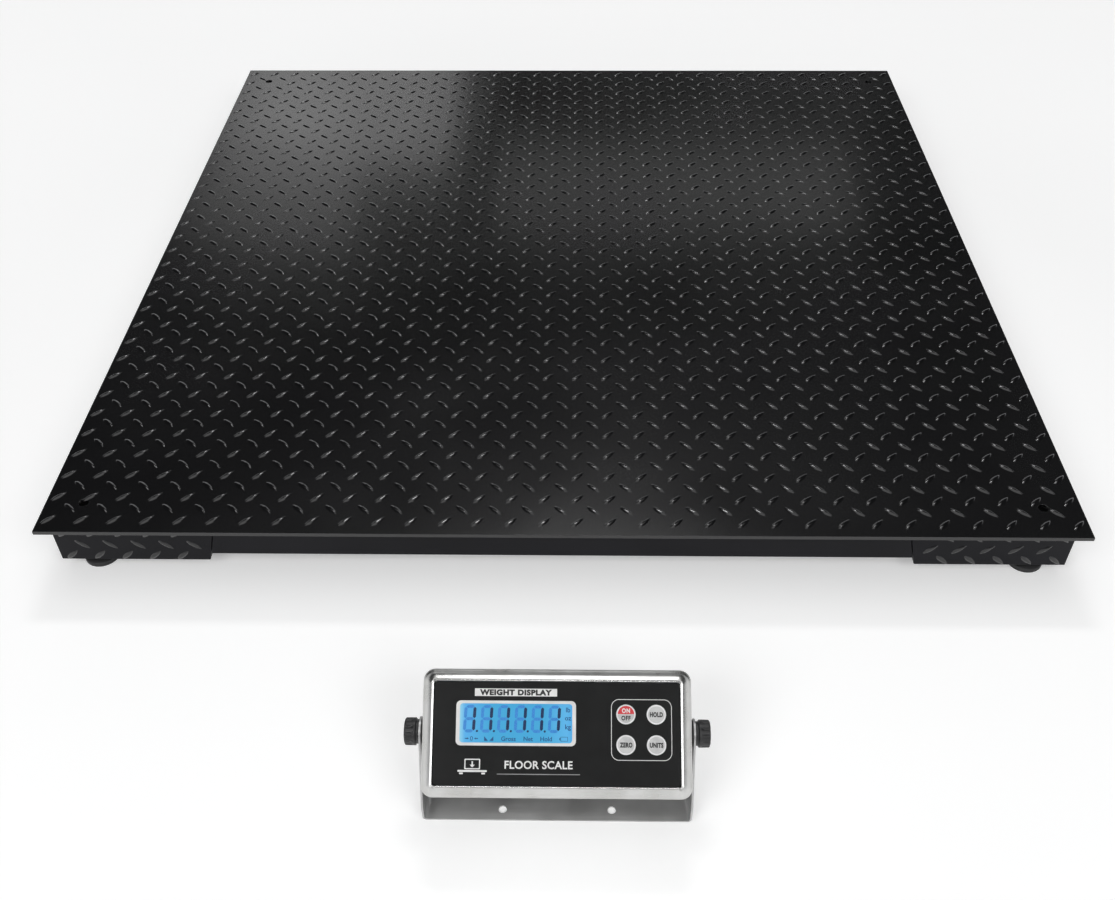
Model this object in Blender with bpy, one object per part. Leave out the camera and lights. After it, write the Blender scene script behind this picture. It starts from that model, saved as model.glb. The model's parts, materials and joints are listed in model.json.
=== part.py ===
"""Low-profile pallet scale: a four-cell steel platform and its separate weighing indicator.

Metres, +Z up. The set stands on Z = 0 with the operator's side towards -Y, and the origin is the
centre of the set's footprint. The platform is modelled round its own centre, the indicator round
the bracket's pivot axis.
"""

import math

import bmesh
import bpy
from mathutils import Matrix, Vector

# ---- driving dimensions -------------------------------------------------------------------
GAP = 0.0003                    # between pieces that touch

# platform
DECK_SIDE = 1.2192              # 48 in square
DECK_THICK = 0.005
DECK_TOP = 0.090
FRAME_TOP = DECK_TOP - DECK_THICK - GAP
FRAME_END = DECK_SIDE / 2 - 0.025        # front and rear faces stand back under the deck
PLATE = 0.004                   # formed frame sheet
CHANNEL_OUTER = DECK_SIDE / 2 - 0.006
CHANNEL_BOTTOM = 0.016
CHANNEL_INNER_TOP = 0.4065      # the inner wall leans outwards as it goes down
CHANNEL_INNER_BOTTOM = 0.4233
RAIL_BOTTOM = 0.027
RAIL_FLANGE = 0.035
RIB_BOTTOM = 0.035
RIB_TOP_WIDTH = 0.080
RIB_BOTTOM_WIDTH = 0.056
RIB_SHEET = 0.003
RIB_PLACES = {"front": -0.300, "middle": 0.0, "rear": 0.270}

# corner assemblies, round each foot's axis
FOOT_X = DECK_SIDE / 2 - 0.045
FOOT_Y = DECK_SIDE / 2 - 0.048
ACCESS_HOLE_RADIUS = 0.006
CELL_LENGTH = 0.130
CELL_WIDTH = 0.032
CELL_BOTTOM = 0.0375
CELL_TOP = 0.0697
CELL_OVERHANG = 0.016           # from the foot's axis to the cell's outer end
GAUGE_HOLE_RADIUS = 0.010
GAUGE_WEB = 0.006               # half the thickness left between the gauge holes
BLOCK_LENGTH = 0.062
POCKET = (0.152, 0.170)         # opening in the channel's web, along X and Y
POCKET_X = 0.514
POCKET_FROM_END = 0.006
STUD_RADIUS = 0.006
STUD_TOP = 0.078
STUD_CLEARANCE = 0.0006
SOCKET_FLATS = 0.006            # hexagon socket in the stud's top
NUT_FLATS = 0.018
NUT_HEIGHT = 0.006
PAD_RADIUS = 0.0215
PAD_SOCKET_RADIUS = 0.0078

# junction box, hung under the deck behind the rear rib
BOX_CENTRE_Y = 0.425
BOX_SIZE = (0.150, 0.110)
BOX_BOTTOM = 0.045
BOX_WALL = 0.003
BOX_LID_THICK = 0.002
BOARD_SIZE = (0.110, 0.072)
BOARD_BOTTOM = 0.0660
BOARD_THICK = 0.0016
GLAND_HEIGHT = 0.055
LEAD_DIAMETER = 0.005
LEAD_HEIGHT = 0.054
LEAD_SLOT = (0.060, 0.014)
REAR_LEAD_Y = 0.440
FRONT_LEAD_Y = 0.405

# indicator, in the head's own frame: pivot axis along X, face towards -Y
STAND_OFF = 0.262               # deck's front edge to the pivot axis
HEAD_WIDTH = 0.260
HEAD_HEIGHT = 0.121
HEAD_FACE = -0.035
HEAD_REAR = 0.033
HEAD_CORNER = 0.011
HEAD_SHEET = 0.0015
BEVEL = 0.0115                  # drawn slope round the face
BEVEL_DEPTH = 0.010
RECESS_DEPTH = 0.0009
PANEL = (0.2355, 0.0965)
PANEL_CORNER = 0.0035
PANEL_THICK = 0.0005
WINDOW = (0.108, 0.037)
WINDOW_CENTRE = (-0.0390, 0.0095)
WINDOW_CORNER = 0.003
KEY_RADIUS = 0.00925
KEY_CLEARANCE = 0.0004
KEY_SPACING = (0.0290, 0.0284)
KEYPAD_CENTRE = (0.0806, 0.0043)
KEYS = {"on_off": (-1, 1), "hold": (1, 1), "zero": (-1, -1), "units": (1, -1)}
KEY_PROUD = 0.0006
PLUNGER_RADIUS = 0.0030
PLUNGER_END = 0.0112
DISPLAY_MODULE = (0.118, 0.006, 0.045)
MAIN_BOARD = ((-0.100, -0.0230, -0.042), (0.108, -0.0214, 0.042))
BATTERY = ((-0.034, -0.0185, -0.050), (0.036, 0.0285, 0.050))
SEAL_THICK = 0.0015
COVER_THICK = 0.0024
ENTRY_X, ENTRY_Z = 0.055, -0.034        # cable gland and power socket in the cover
PIVOT_HEIGHT = 0.086
REST_TILT = math.radians(54)    # face leans back from upright
BRACKET_SHEET = 0.002
BRACKET_DEPTH = 0.093
BRACKET_BEND = 0.005
EAR_RADIUS = 0.0145
CABLE_HOLE_RADIUS = 0.013
SCREW_HOLE_RADIUS = 0.0042
SCREW_HOLE_X, SCREW_HOLE_IN = 0.055, 0.0115
KEYHOLE_X = 0.0855
WASHER_THICK = 0.0012
WASHER_RADIUS = 0.013
BOSS_THICK = 0.0008
BOSS_RADIUS = 0.010
KNOB_RADIUS = 0.0135
KNOB_LENGTH = 0.0145
PIVOT_STUD_RADIUS = 0.004

FINISHES = {                    # colour, roughness, metallic
    "black_paint": ((0.012, 0.012, 0.014), 0.35, 0.0),
    "bare_steel": ((0.55, 0.56, 0.58), 0.35, 1.0),
    "zinc": ((0.62, 0.62, 0.60), 0.30, 1.0),
    "alloy": ((0.66, 0.67, 0.69), 0.40, 1.0),
    "rubber": ((0.020, 0.020, 0.022), 0.80, 0.0),
    "stainless": ((0.60, 0.60, 0.59), 0.28, 1.0),
    "panel_black": ((0.010, 0.010, 0.012), 0.40, 0.0),
    "display_blue": ((0.10, 0.42, 0.72), 0.20, 0.0),
    "key_grey": ((0.55, 0.55, 0.56), 0.45, 0.0),
    "plastic_black": ((0.018, 0.018, 0.019), 0.50, 0.0),
    "board_green": ((0.03, 0.20, 0.08), 0.45, 0.0),
    "battery_grey": ((0.10, 0.10, 0.11), 0.55, 0.0),
}


# ---- helpers ------------------------------------------------------------------------------
def finish(name):
    """The Principled material of that finish, made once."""
    found = bpy.data.materials.get(name)
    if found:
        return found
    colour, roughness, metallic = FINISHES[name]
    made = bpy.data.materials.new(name)
    made.use_nodes = True
    shader = made.node_tree.nodes["Principled BSDF"]
    shader.inputs["Base Color"].default_value = (*colour, 1.0)
    shader.inputs["Roughness"].default_value = roughness
    shader.inputs["Metallic"].default_value = metallic
    return made


def empty(name, parent=None, location=(0, 0, 0), tilt=0.0):
    made = bpy.data.objects.new(name, None)
    bpy.context.scene.collection.objects.link(made)
    made.parent = parent
    made.location = location
    made.rotation_euler.x = tilt
    return made


def piece(name, shape, finish_name, parent, location=(0, 0, 0), turn=0.0, smooth=False):
    """An object from a bmesh, at a place and a turn about Z under its parent."""
    bmesh.ops.recalc_face_normals(shape, faces=shape.faces)
    mesh = bpy.data.meshes.new(name)
    shape.to_mesh(mesh)
    shape.free()
    if smooth:
        mesh.shade_smooth()
        mesh.set_sharp_from_angle(angle=math.radians(35))
    made = bpy.data.objects.new(name, mesh)
    bpy.context.scene.collection.objects.link(made)
    made.parent = parent
    made.location = location
    made.rotation_euler.z = turn
    mesh.materials.append(finish(finish_name))
    return made


def cut(target, shape, operation="DIFFERENCE"):
    """Takes shape, given in the target's own frame, out of the target, or keeps only what both share."""
    cutter = piece(f"{target.name}_cutter", shape, "bare_steel", target)
    cutter.hide_render = True
    cutter.display_type = "WIRE"
    modifier = target.modifiers.new(operation.title(), "BOOLEAN")
    modifier.operation = operation
    modifier.object = cutter


def oriented(axis, a, b, along):
    """A point from two coordinates across an axis and one along it."""
    return {"X": (along, a, b), "Y": (a, along, b), "Z": (a, b, along)}[axis]


def prism(outline, axis, start, end):
    """A flat outline run straight along an axis."""
    shape = bmesh.new()
    face = shape.faces.new([shape.verts.new(oriented(axis, a, b, start)) for a, b in outline])
    made = bmesh.ops.extrude_face_region(shape, geom=[face])
    moved = [v for v in made["geom"] if isinstance(v, bmesh.types.BMVert)]
    bmesh.ops.translate(shape, verts=moved, vec=oriented(axis, 0, 0, end - start))
    return shape


def block(low, high):
    """A box between two corners."""
    shape = bmesh.new()
    bmesh.ops.create_cube(shape, size=1.0)
    low, high = Vector(low), Vector(high)
    bmesh.ops.scale(shape, verts=shape.verts, vec=high - low)
    bmesh.ops.translate(shape, verts=shape.verts, vec=(low + high) / 2)
    return shape


def lathe(profile, sides, axis="Z", closed=False):
    """Radius and height pairs turned about an axis. A closed profile makes a ring."""
    shape = bmesh.new()
    verts = [shape.verts.new((radius, 0, height)) for radius, height in profile]
    pairs = list(zip(verts, verts[1:])) + ([(verts[-1], verts[0])] if closed else [])
    edges = [shape.edges.new(pair) for pair in pairs]
    bmesh.ops.spin(shape, geom=verts + edges, axis=(0, 0, 1), cent=(0, 0, 0),
                   angle=math.tau, steps=sides, use_merge=True)
    bmesh.ops.remove_doubles(shape, verts=shape.verts, dist=1e-6)
    turns = {"X": (math.pi / 2, 3, "Y"), "Y": (-math.pi / 2, 3, "X")}
    if axis in turns:
        turn = Matrix.Rotation(*turns[axis])
        bmesh.ops.rotate(shape, verts=shape.verts, cent=(0, 0, 0), matrix=turn)
    return shape


def loft(loops):
    """Loops of equally many points joined in turn, with both ends capped."""
    shape = bmesh.new()
    rings = [[shape.verts.new(point) for point in loop] for loop in loops]
    for ring, following in zip(rings, rings[1:]):
        for index, vert in enumerate(ring):
            after = (index + 1) % len(ring)
            shape.faces.new((vert, ring[after], following[after], following[index]))
    shape.faces.new(rings[0])
    shape.faces.new(rings[-1])
    return shape


def arc(centre, radius, start, end, steps):
    """Points on an arc, angles in degrees."""
    angles = [math.radians(start + (end - start) * step / steps) for step in range(steps + 1)]
    return [(centre[0] + radius * math.cos(a), centre[1] + radius * math.sin(a)) for a in angles]


def circle(centre, radius, sides):
    return arc(centre, radius, 0, 360, sides)[:-1]


def rectangle(centre, width, height):
    x, y = centre
    return [(x + sx * width / 2, y + sy * height / 2) for sx, sy in ((-1, -1), (1, -1), (1, 1), (-1, 1))]


def rounded(centre, width, height, radius, steps=4):
    """A rectangle with round corners, anticlockwise from its right side."""
    x, y = width / 2 - radius, height / 2 - radius
    outline = []
    for quarter, (sx, sy) in enumerate(((1, 1), (-1, 1), (-1, -1), (1, -1))):
        middle = (centre[0] + sx * x, centre[1] + sy * y)
        outline += arc(middle, radius, 90 * quarter, 90 * quarter + 90, steps)
    return outline


def hexagon(across_flats):
    return circle((0, 0), across_flats / math.sqrt(3), 6)


# ---- platform -----------------------------------------------------------------------------
def channel_inner(height, inwards=0.0):
    """How far the side channel's leaning inner wall stands from the middle at a height."""
    share = (FRAME_TOP - height) / (FRAME_TOP - CHANNEL_BOTTOM)
    return CHANNEL_INNER_TOP + share * (CHANNEL_INNER_BOTTOM - CHANNEL_INNER_TOP) - inwards


def fit_between_channels(shape):
    """Moves each end of a piece that crosses the platform up to the leaning walls."""
    for vert in shape.verts:
        vert.co.x = math.copysign(channel_inner(vert.co.z, GAP * 1.5), vert.co.x)
    return shape


def deck(platform):
    half = DECK_SIDE / 2
    plate = piece("deck_plate", block((-half, -half, DECK_TOP - DECK_THICK), (half, half, DECK_TOP)),
                  "black_paint", platform)
    for side in (-1, 1):
        for end in (-1, 1):
            hole = circle((side * FOOT_X, end * FOOT_Y), ACCESS_HOLE_RADIUS, 16)
            cut(plate, prism(hole, "Z", DECK_TOP - 0.02, DECK_TOP + 0.02))


def side_channel(platform, name, side):
    """A folded trough along one side, its web open at both ends for the load cells."""
    outline = [
        (CHANNEL_OUTER, FRAME_TOP), (CHANNEL_OUTER, CHANNEL_BOTTOM), (CHANNEL_INNER_BOTTOM, CHANNEL_BOTTOM),
        (CHANNEL_INNER_TOP, FRAME_TOP), (CHANNEL_INNER_TOP + PLATE, FRAME_TOP),
        (CHANNEL_INNER_BOTTOM + PLATE, CHANNEL_BOTTOM + PLATE),
        (CHANNEL_OUTER - PLATE, CHANNEL_BOTTOM + PLATE), (CHANNEL_OUTER - PLATE, FRAME_TOP),
    ]
    reach = FRAME_END - PLATE - GAP
    trough = piece(name, prism([(side * x, z) for x, z in outline], "Y", -reach, reach),
                   "black_paint", platform)
    for end in (-1, 1):
        centre = (side * POCKET_X, end * (reach - POCKET_FROM_END - POCKET[1] / 2))
        cut(trough, prism(rectangle(centre, *POCKET), "Z", CHANNEL_BOTTOM - 0.01, CHANNEL_BOTTOM + 0.01))
    lead_slot = rectangle(((REAR_LEAD_Y + FRONT_LEAD_Y) / 2, LEAD_HEIGHT), *LEAD_SLOT)
    cut(trough, prism(lead_slot, "X", side * (CHANNEL_INNER_TOP - 0.01), side * (CHANNEL_INNER_TOP + 0.03)))


def end_plate(platform, name, side, end):
    """The cap that closes a side channel."""
    outline = [
        (CHANNEL_OUTER, FRAME_TOP), (CHANNEL_OUTER, CHANNEL_BOTTOM),
        (CHANNEL_INNER_BOTTOM, CHANNEL_BOTTOM), (CHANNEL_INNER_TOP, FRAME_TOP),
    ]
    faces = sorted((end * (FRAME_END - PLATE), end * FRAME_END))
    piece(name, prism([(side * x, z) for x, z in outline], "Y", *faces), "black_paint", platform)


def rail(platform, name, end):
    """A folded angle between the side channels, its flange turned inwards."""
    outline = [
        (FRAME_END, FRAME_TOP), (FRAME_END, RAIL_BOTTOM), (FRAME_END - RAIL_FLANGE, RAIL_BOTTOM),
        (FRAME_END - RAIL_FLANGE, RAIL_BOTTOM + PLATE), (FRAME_END - PLATE, RAIL_BOTTOM + PLATE),
        (FRAME_END - PLATE, FRAME_TOP),
    ]
    shape = prism([(end * y, z) for y, z in outline], "X", -1, 1)
    piece(name, fit_between_channels(shape), "black_paint", platform)


def cross_rib(platform, name, y):
    """A trapezoid trough under the deck, from one side channel to the other."""
    top, bottom = RIB_TOP_WIDTH / 2, RIB_BOTTOM_WIDTH / 2
    outer = [(-top, FRAME_TOP), (-bottom, RIB_BOTTOM), (bottom, RIB_BOTTOM), (top, FRAME_TOP)]
    inner = [
        (top - RIB_SHEET, FRAME_TOP), (bottom - RIB_SHEET, RIB_BOTTOM + RIB_SHEET),
        (RIB_SHEET - bottom, RIB_BOTTOM + RIB_SHEET), (RIB_SHEET - top, FRAME_TOP),
    ]
    shape = prism(outer + inner, "X", -1, 1)
    piece(name, fit_between_channels(shape), "black_paint", platform, (0, y, 0))


def stud_loop(radius, height, hexagonal=False, sides=12):
    """A loop round the stud: round, or with the spanner flats at that radius."""
    loop = []
    for step in range(sides):
        angle = math.tau * step / sides
        reach = radius / math.cos(angle % (math.pi / 3) - math.pi / 6) if hexagonal else radius
        loop.append((reach * math.cos(angle), reach * math.sin(angle), height))
    return loop


def corner(platform, name, side, end):
    """Load cell, block, nut and levelling foot. Local -Y runs from the foot towards the middle."""
    place = (side * FOOT_X, end * FOOT_Y, 0)
    turn = 0.0 if end > 0 else math.pi
    inner_end = CELL_OVERHANG - CELL_LENGTH
    half = CELL_WIDTH / 2

    piece(f"load_cell_block_{name}",
          block((-half, inner_end, CELL_TOP + GAP), (half, inner_end + BLOCK_LENGTH, FRAME_TOP)),
          "black_paint", platform, place, turn)

    cell = piece(f"load_cell_{name}",
                 block((-half, inner_end, CELL_BOTTOM), (half, CELL_OVERHANG, CELL_TOP)),
                 "alloy", platform, place, turn)
    bore = circle((0, 0), STUD_RADIUS + STUD_CLEARANCE, 16)
    cut(cell, prism(bore, "Z", CELL_BOTTOM - 0.01, CELL_TOP + 0.01))
    gauge = ((CELL_OVERHANG + inner_end + BLOCK_LENGTH) / 2 - 0.006, (CELL_BOTTOM + CELL_TOP) / 2)
    for face in (-1, 1):
        web = sorted((face * GAUGE_WEB, face * (half + 0.01)))
        cut(cell, prism(circle(gauge, GAUGE_HOLE_RADIUS, 16), "X", *web))

    nut_bottom = CELL_BOTTOM - GAP - NUT_HEIGHT
    nut = piece(f"foot_nut_{name}", prism(hexagon(NUT_FLATS), "Z", nut_bottom, CELL_BOTTOM - GAP),
                "zinc", platform, place, turn)
    cut(nut, prism(bore, "Z", nut_bottom - 0.01, CELL_BOTTOM + 0.01))
    levelling_foot(platform, name, place, turn)


def levelling_foot(platform, name, place, turn):
    """The pad, and the stud whose ball end stands in its socket."""

    neck, collar = 0.0050, 0.0080
    collar_bottom, collar_top = 0.0150, 0.0205
    shape = loft([
        stud_loop(0.0062, 0.0064), stud_loop(0.0070, 0.0072), stud_loop(0.0070, 0.0112),
        stud_loop(neck, 0.0132), stud_loop(neck, collar_bottom),
        stud_loop(collar, collar_bottom, True), stud_loop(collar, collar_top, True),
        stud_loop(STUD_RADIUS, collar_top), stud_loop(STUD_RADIUS, STUD_TOP - 0.001),
        stud_loop(STUD_RADIUS - 0.001, STUD_TOP),
    ])
    stud = piece(f"foot_stud_{name}", shape, "zinc", platform, place, turn, smooth=True)
    cut(stud, prism(hexagon(SOCKET_FLATS), "Z", STUD_TOP - 0.006, STUD_TOP + 0.01))

    shape = lathe([
        (0, 0), (PAD_RADIUS - 0.0008, 0), (PAD_RADIUS, 0.0008), (PAD_RADIUS, 0.0060),
        (0.0115, 0.0090), (0.0105, 0.0128), (PAD_SOCKET_RADIUS, 0.0128), (PAD_SOCKET_RADIUS, 0.0060),
        (0, 0.0060),
    ], 24)
    piece(f"foot_pad_{name}", shape, "rubber", platform, place, turn, smooth=True)


def junction_box(platform):
    place = (0, BOX_CENTRE_Y, 0)
    x, y = BOX_SIZE[0] / 2, BOX_SIZE[1] / 2
    outside = block((-x, -y, BOX_BOTTOM), (x, y, FRAME_TOP))
    shell = piece("junction_box", outside, "stainless", platform, place)
    inner_x, inner_y = x - BOX_WALL, y - BOX_WALL
    cut(shell, block((-inner_x, -inner_y, BOX_BOTTOM - 0.01), (inner_x, inner_y, FRAME_TOP - BOX_WALL)))
    piece("junction_box_lid", block((-x, -y, BOX_BOTTOM - GAP - BOX_LID_THICK), (x, y, BOX_BOTTOM - GAP)),
          "stainless", platform, place)
    board_x, board_y = BOARD_SIZE[0] / 2, BOARD_SIZE[1] / 2
    low, high = (-board_x, -board_y, BOARD_BOTTOM), (board_x, board_y, BOARD_BOTTOM + BOARD_THICK)
    piece("summing_board", block(low, high), "board_green", platform, place)
    gland = lathe([
        (0, 0), (0.0095, 0), (0.0095, 0.005), (0.0080, 0.005), (0.0080, 0.015), (0.0060, 0.0185),
        (0.0035, 0.0185), (0.0035, 0.010), (0, 0.010),
    ], 20, "Y")
    entry = (0, FRAME_END + GAP, GLAND_HEIGHT)
    piece("platform_gland", gland, "plastic_black", platform, entry, smooth=True)


def curve_through(points, steps):
    """Points on a smooth curve through a route's own points (Catmull-Rom)."""
    route = [Vector(p) for p in points]
    route = [2 * route[0] - route[1]] + route + [2 * route[-1] - route[-2]]
    line = []
    for before, start, end, after in zip(route, route[1:], route[2:], route[3:]):
        for step in range(steps):
            t = step / steps
            line.append(0.5 * (2 * start + (end - before) * t
                               + (2 * before - 5 * start + 4 * end - after) * t ** 2
                               + (3 * start - before - 3 * end + after) * t ** 3))
    return line + [route[-2]]


def cell_lead(platform, name, side, end):
    """The lead from a load cell along the channel, through its slot and into the junction box."""
    start = FOOT_Y + CELL_OVERHANG - CELL_LENGTH - GAP
    cross = REAR_LEAD_Y if end > 0 else FRONT_LEAD_Y
    bend = 0.020
    if end > 0:                 # loops towards the middle of the channel, then back out
        run = [(FOOT_X, start), (FOOT_X, start - 0.010), (FOOT_X - 0.012, cross - 0.009),
               (FOOT_X - 0.035, cross)]
    else:
        run = [(FOOT_X, -start), (FOOT_X, 0.0), (FOOT_X, cross - 2 * bend),
               (FOOT_X - 0.006, cross - bend * 0.6),
               (FOOT_X - bend, cross - 0.003), (FOOT_X - 2 * bend, cross)]
    run += [(channel_inner(LEAD_HEIGHT), cross), (0.20, cross), (BOX_SIZE[0] / 2 + GAP, cross)]
    points = curve_through([(side * x, y, LEAD_HEIGHT) for x, y in run], 4)
    curve = bpy.data.curves.new(f"cell_lead_{name}", "CURVE")
    curve.dimensions = "3D"
    spline = curve.splines.new("POLY")
    spline.points.add(len(points) - 1)
    for point, place in zip(spline.points, points):
        point.co = (*place, 1.0)
    curve.bevel_depth = LEAD_DIAMETER / 2
    curve.bevel_resolution = 2
    curve.use_fill_caps = True
    curve.materials.append(finish("plastic_black"))
    made = bpy.data.objects.new(curve.name, curve)
    bpy.context.scene.collection.objects.link(made)
    made.parent = platform


def build_platform(scale_set):
    platform = empty("platform", scale_set)
    deck(platform)
    for side_name, side in (("left", -1), ("right", 1)):
        side_channel(platform, f"side_channel_{side_name}", side)
        for end_name, end in (("front", -1), ("rear", 1)):
            name = f"{end_name}_{side_name}"
            end_plate(platform, f"end_plate_{name}", side, end)
            corner(platform, name, side, end)
            cell_lead(platform, name, side, end)
    rail(platform, "front_rail", -1)
    rail(platform, "rear_rail", 1)
    for name, y in RIB_PLACES.items():
        cross_rib(platform, f"cross_rib_{name}", y)
    junction_box(platform)


# ---- indicator ----------------------------------------------------------------------------
def head_loop(inset, depth):
    """The head's rounded outline, drawn in by an inset, at a depth along Y."""
    radius = max(HEAD_CORNER - inset * 0.6, 0.0035)
    outline = rounded((0, 0), HEAD_WIDTH - 2 * inset, HEAD_HEIGHT - 2 * inset, radius)
    return [(x, depth, z) for x, z in outline]


def bevel_loops(inset, face, steps=4):
    """The drawn slope from the side wall round to the face, as a quarter ellipse."""
    loops = []
    for step in range(steps + 1):
        angle = math.pi / 2 * step / steps
        across = BEVEL * (1 - math.cos(angle))
        along = BEVEL_DEPTH * math.sin(angle)
        loops.append(head_loop(inset + across, face + BEVEL_DEPTH - along))
    return loops


def front_shell(head):
    """A drawn tray, open at the back, with a recess for the panel in its face."""
    outer = [head_loop(0, HEAD_REAR)] + bevel_loops(0, HEAD_FACE)
    edge = BEVEL + 0.0006
    outer += [head_loop(edge, HEAD_FACE + RECESS_DEPTH)]
    inner = [head_loop(HEAD_SHEET, HEAD_REAR)]
    inner += bevel_loops(HEAD_SHEET, HEAD_FACE + RECESS_DEPTH + HEAD_SHEET)
    shell = piece("front_shell", loft(inner[::-1] + outer), "stainless", head, smooth=True)
    through = (HEAD_FACE - 0.01, HEAD_FACE + 0.01)
    cut(shell, prism(rounded(WINDOW_CENTRE, *WINDOW, WINDOW_CORNER), "Y", *through))
    for place in key_places().values():
        cut(shell, prism(circle(place, KEY_RADIUS + KEY_CLEARANCE, 20), "Y", *through))


def key_places():
    """Key name to its centre on the face."""
    return {
        name: (KEYPAD_CENTRE[0] + sx * KEY_SPACING[0] / 2, KEYPAD_CENTRE[1] + sz * KEY_SPACING[1] / 2)
        for name, (sx, sz) in KEYS.items()
    }


def panel_and_keys(head):
    back = HEAD_FACE + RECESS_DEPTH - GAP
    front = back - PANEL_THICK
    film = prism(rounded((0, 0), *PANEL, PANEL_CORNER), "Y", front, back)
    panel = piece("overlay_panel", film, "panel_black", head)
    through = (front - 0.01, back + 0.01)
    cut(panel, prism(rounded(WINDOW_CENTRE, *WINDOW, WINDOW_CORNER), "Y", *through))
    for place in key_places().values():
        cut(panel, prism(circle(place, KEY_RADIUS + KEY_CLEARANCE, 20), "Y", *through))

    cap = 0.0030
    for name, (x, z) in key_places().items():
        shape = lathe([
            (0, -KEY_PROUD), (KEY_RADIUS - KEY_PROUD, -KEY_PROUD), (KEY_RADIUS, 0), (KEY_RADIUS, cap),
            (PLUNGER_RADIUS, cap), (PLUNGER_RADIUS, PLUNGER_END), (0, PLUNGER_END),
        ], 24, "Y")
        piece(f"key_{name}", shape, "key_grey", head, (x, front, z), smooth=True)


def inside_head(head):
    glass_front = HEAD_FACE + RECESS_DEPTH + HEAD_SHEET + GAP
    width, depth, height = DISPLAY_MODULE
    x, z = WINDOW_CENTRE
    low = (x - width / 2, glass_front, z - height / 2)
    high = (x + width / 2, glass_front + depth, z + height / 2)
    piece("lcd_module", block(low, high), "display_blue", head)
    piece("main_board", block(*MAIN_BOARD), "board_green", head)
    piece("battery", block(*BATTERY), "battery_grey", head)


def rear_cover(head):
    """The seal and the flat-backed cover behind it, with the cable entries along its foot."""
    seal_back = HEAD_REAR + GAP + SEAL_THICK
    outer = head_loop(0.0008, HEAD_REAR + GAP)
    inner = head_loop(0.0050, HEAD_REAR + GAP)
    back_outer = head_loop(0.0008, seal_back)
    back_inner = head_loop(0.0050, seal_back)
    seal = bmesh.new()
    rings = [[seal.verts.new(p) for p in loop] for loop in (outer, back_outer, back_inner, inner)]
    for ring, following in zip(rings, rings[1:] + rings[:1]):
        for index, vert in enumerate(ring):
            after = (index + 1) % len(ring)
            seal.faces.new((vert, ring[after], following[after], following[index]))
    piece("cover_seal", seal, "rubber", head)

    front = seal_back + GAP
    chamfer = COVER_THICK / 2
    loops = [head_loop(0, front), head_loop(0, front + chamfer), head_loop(chamfer, front + COVER_THICK)]
    piece("rear_cover", loft(loops), "stainless", head, smooth=True)
    entry_depth = front + COVER_THICK + GAP
    gland = lathe([
        (0, 0), (0.0090, 0), (0.0090, 0.0045), (0.0075, 0.0045), (0.0075, 0.0130), (0.0055, 0.0165),
        (0.0032, 0.0165), (0.0032, 0.0080), (0, 0.0080),
    ], 20, "Y")
    piece("signal_gland", gland, "plastic_black", head, (-ENTRY_X, entry_depth, ENTRY_Z), smooth=True)
    socket = lathe([
        (0, 0), (0.0075, 0), (0.0075, 0.0020), (0.0060, 0.0040), (0.0042, 0.0040), (0.0042, 0.0010),
        (0, 0.0010),
    ], 20, "Y")
    piece("power_socket", socket, "plastic_black", head, (ENTRY_X, entry_depth, ENTRY_Z), smooth=True)


def pivot_side(head, name, side):
    """What sits on the pivot axis at one end, from the head outwards: stud, washer, ear, knob."""
    boss = HEAD_WIDTH / 2 + GAP
    boss_end = boss + BOSS_THICK
    washer = boss_end + GAP
    ear = washer + WASHER_THICK + GAP
    knob_start = ear + BRACKET_SHEET + GAP
    half_turn = 0.0 if side > 0 else math.pi
    stud_end = knob_start + KNOB_LENGTH - 0.0045

    shape = lathe([
        (0, boss), (BOSS_RADIUS, boss), (BOSS_RADIUS, boss_end), (PIVOT_STUD_RADIUS, boss_end),
        (PIVOT_STUD_RADIUS, stud_end - 0.0008), (PIVOT_STUD_RADIUS - 0.0008, stud_end), (0, stud_end),
    ], 16, "X")
    piece(f"pivot_stud_{name}", shape, "zinc", head, turn=half_turn, smooth=True)

    bore = PIVOT_STUD_RADIUS + 0.0006
    washer_end = washer + WASHER_THICK
    rim = [(bore, washer), (WASHER_RADIUS, washer), (WASHER_RADIUS, washer_end), (bore, washer_end)]
    shape = lathe(rim, 20, "X", closed=True)
    piece(f"friction_washer_{name}", shape, "rubber", head, turn=half_turn, smooth=True)

    knob_axis = empty(f"knob_axis_{name}", head)
    knob = piece(f"knob_{name}", knob_shape(knob_start), "plastic_black", knob_axis, turn=half_turn)
    cut(knob, lathe([(0, knob_start - 0.01), (bore, knob_start - 0.01), (bore, stud_end + 0.001),
                     (0, stud_end + 0.001)], 16, "X"))


def knob_shape(start, lobes=12, points_per_lobe=4):
    """A fluted grip: the outline's radius dips between the lobes, and both rims are rounded off."""
    count = lobes * points_per_lobe

    def loop(scale, along, flute):
        points = []
        for index in range(count):
            angle = math.tau * index / count
            dip = flute * 0.5 * (1 - math.cos(lobes * angle))
            radius = (KNOB_RADIUS - dip) * scale
            points.append((along, radius * math.cos(angle), radius * math.sin(angle)))
        return points

    end = start + KNOB_LENGTH
    return loft([
        loop(0.86, start, 0.0), loop(0.90, start + 0.0030, 0.0), loop(1.0, start + 0.0042, 0.0009),
        loop(1.0, end - 0.0018, 0.0009), loop(0.90, end, 0.0006),
    ])


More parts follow.
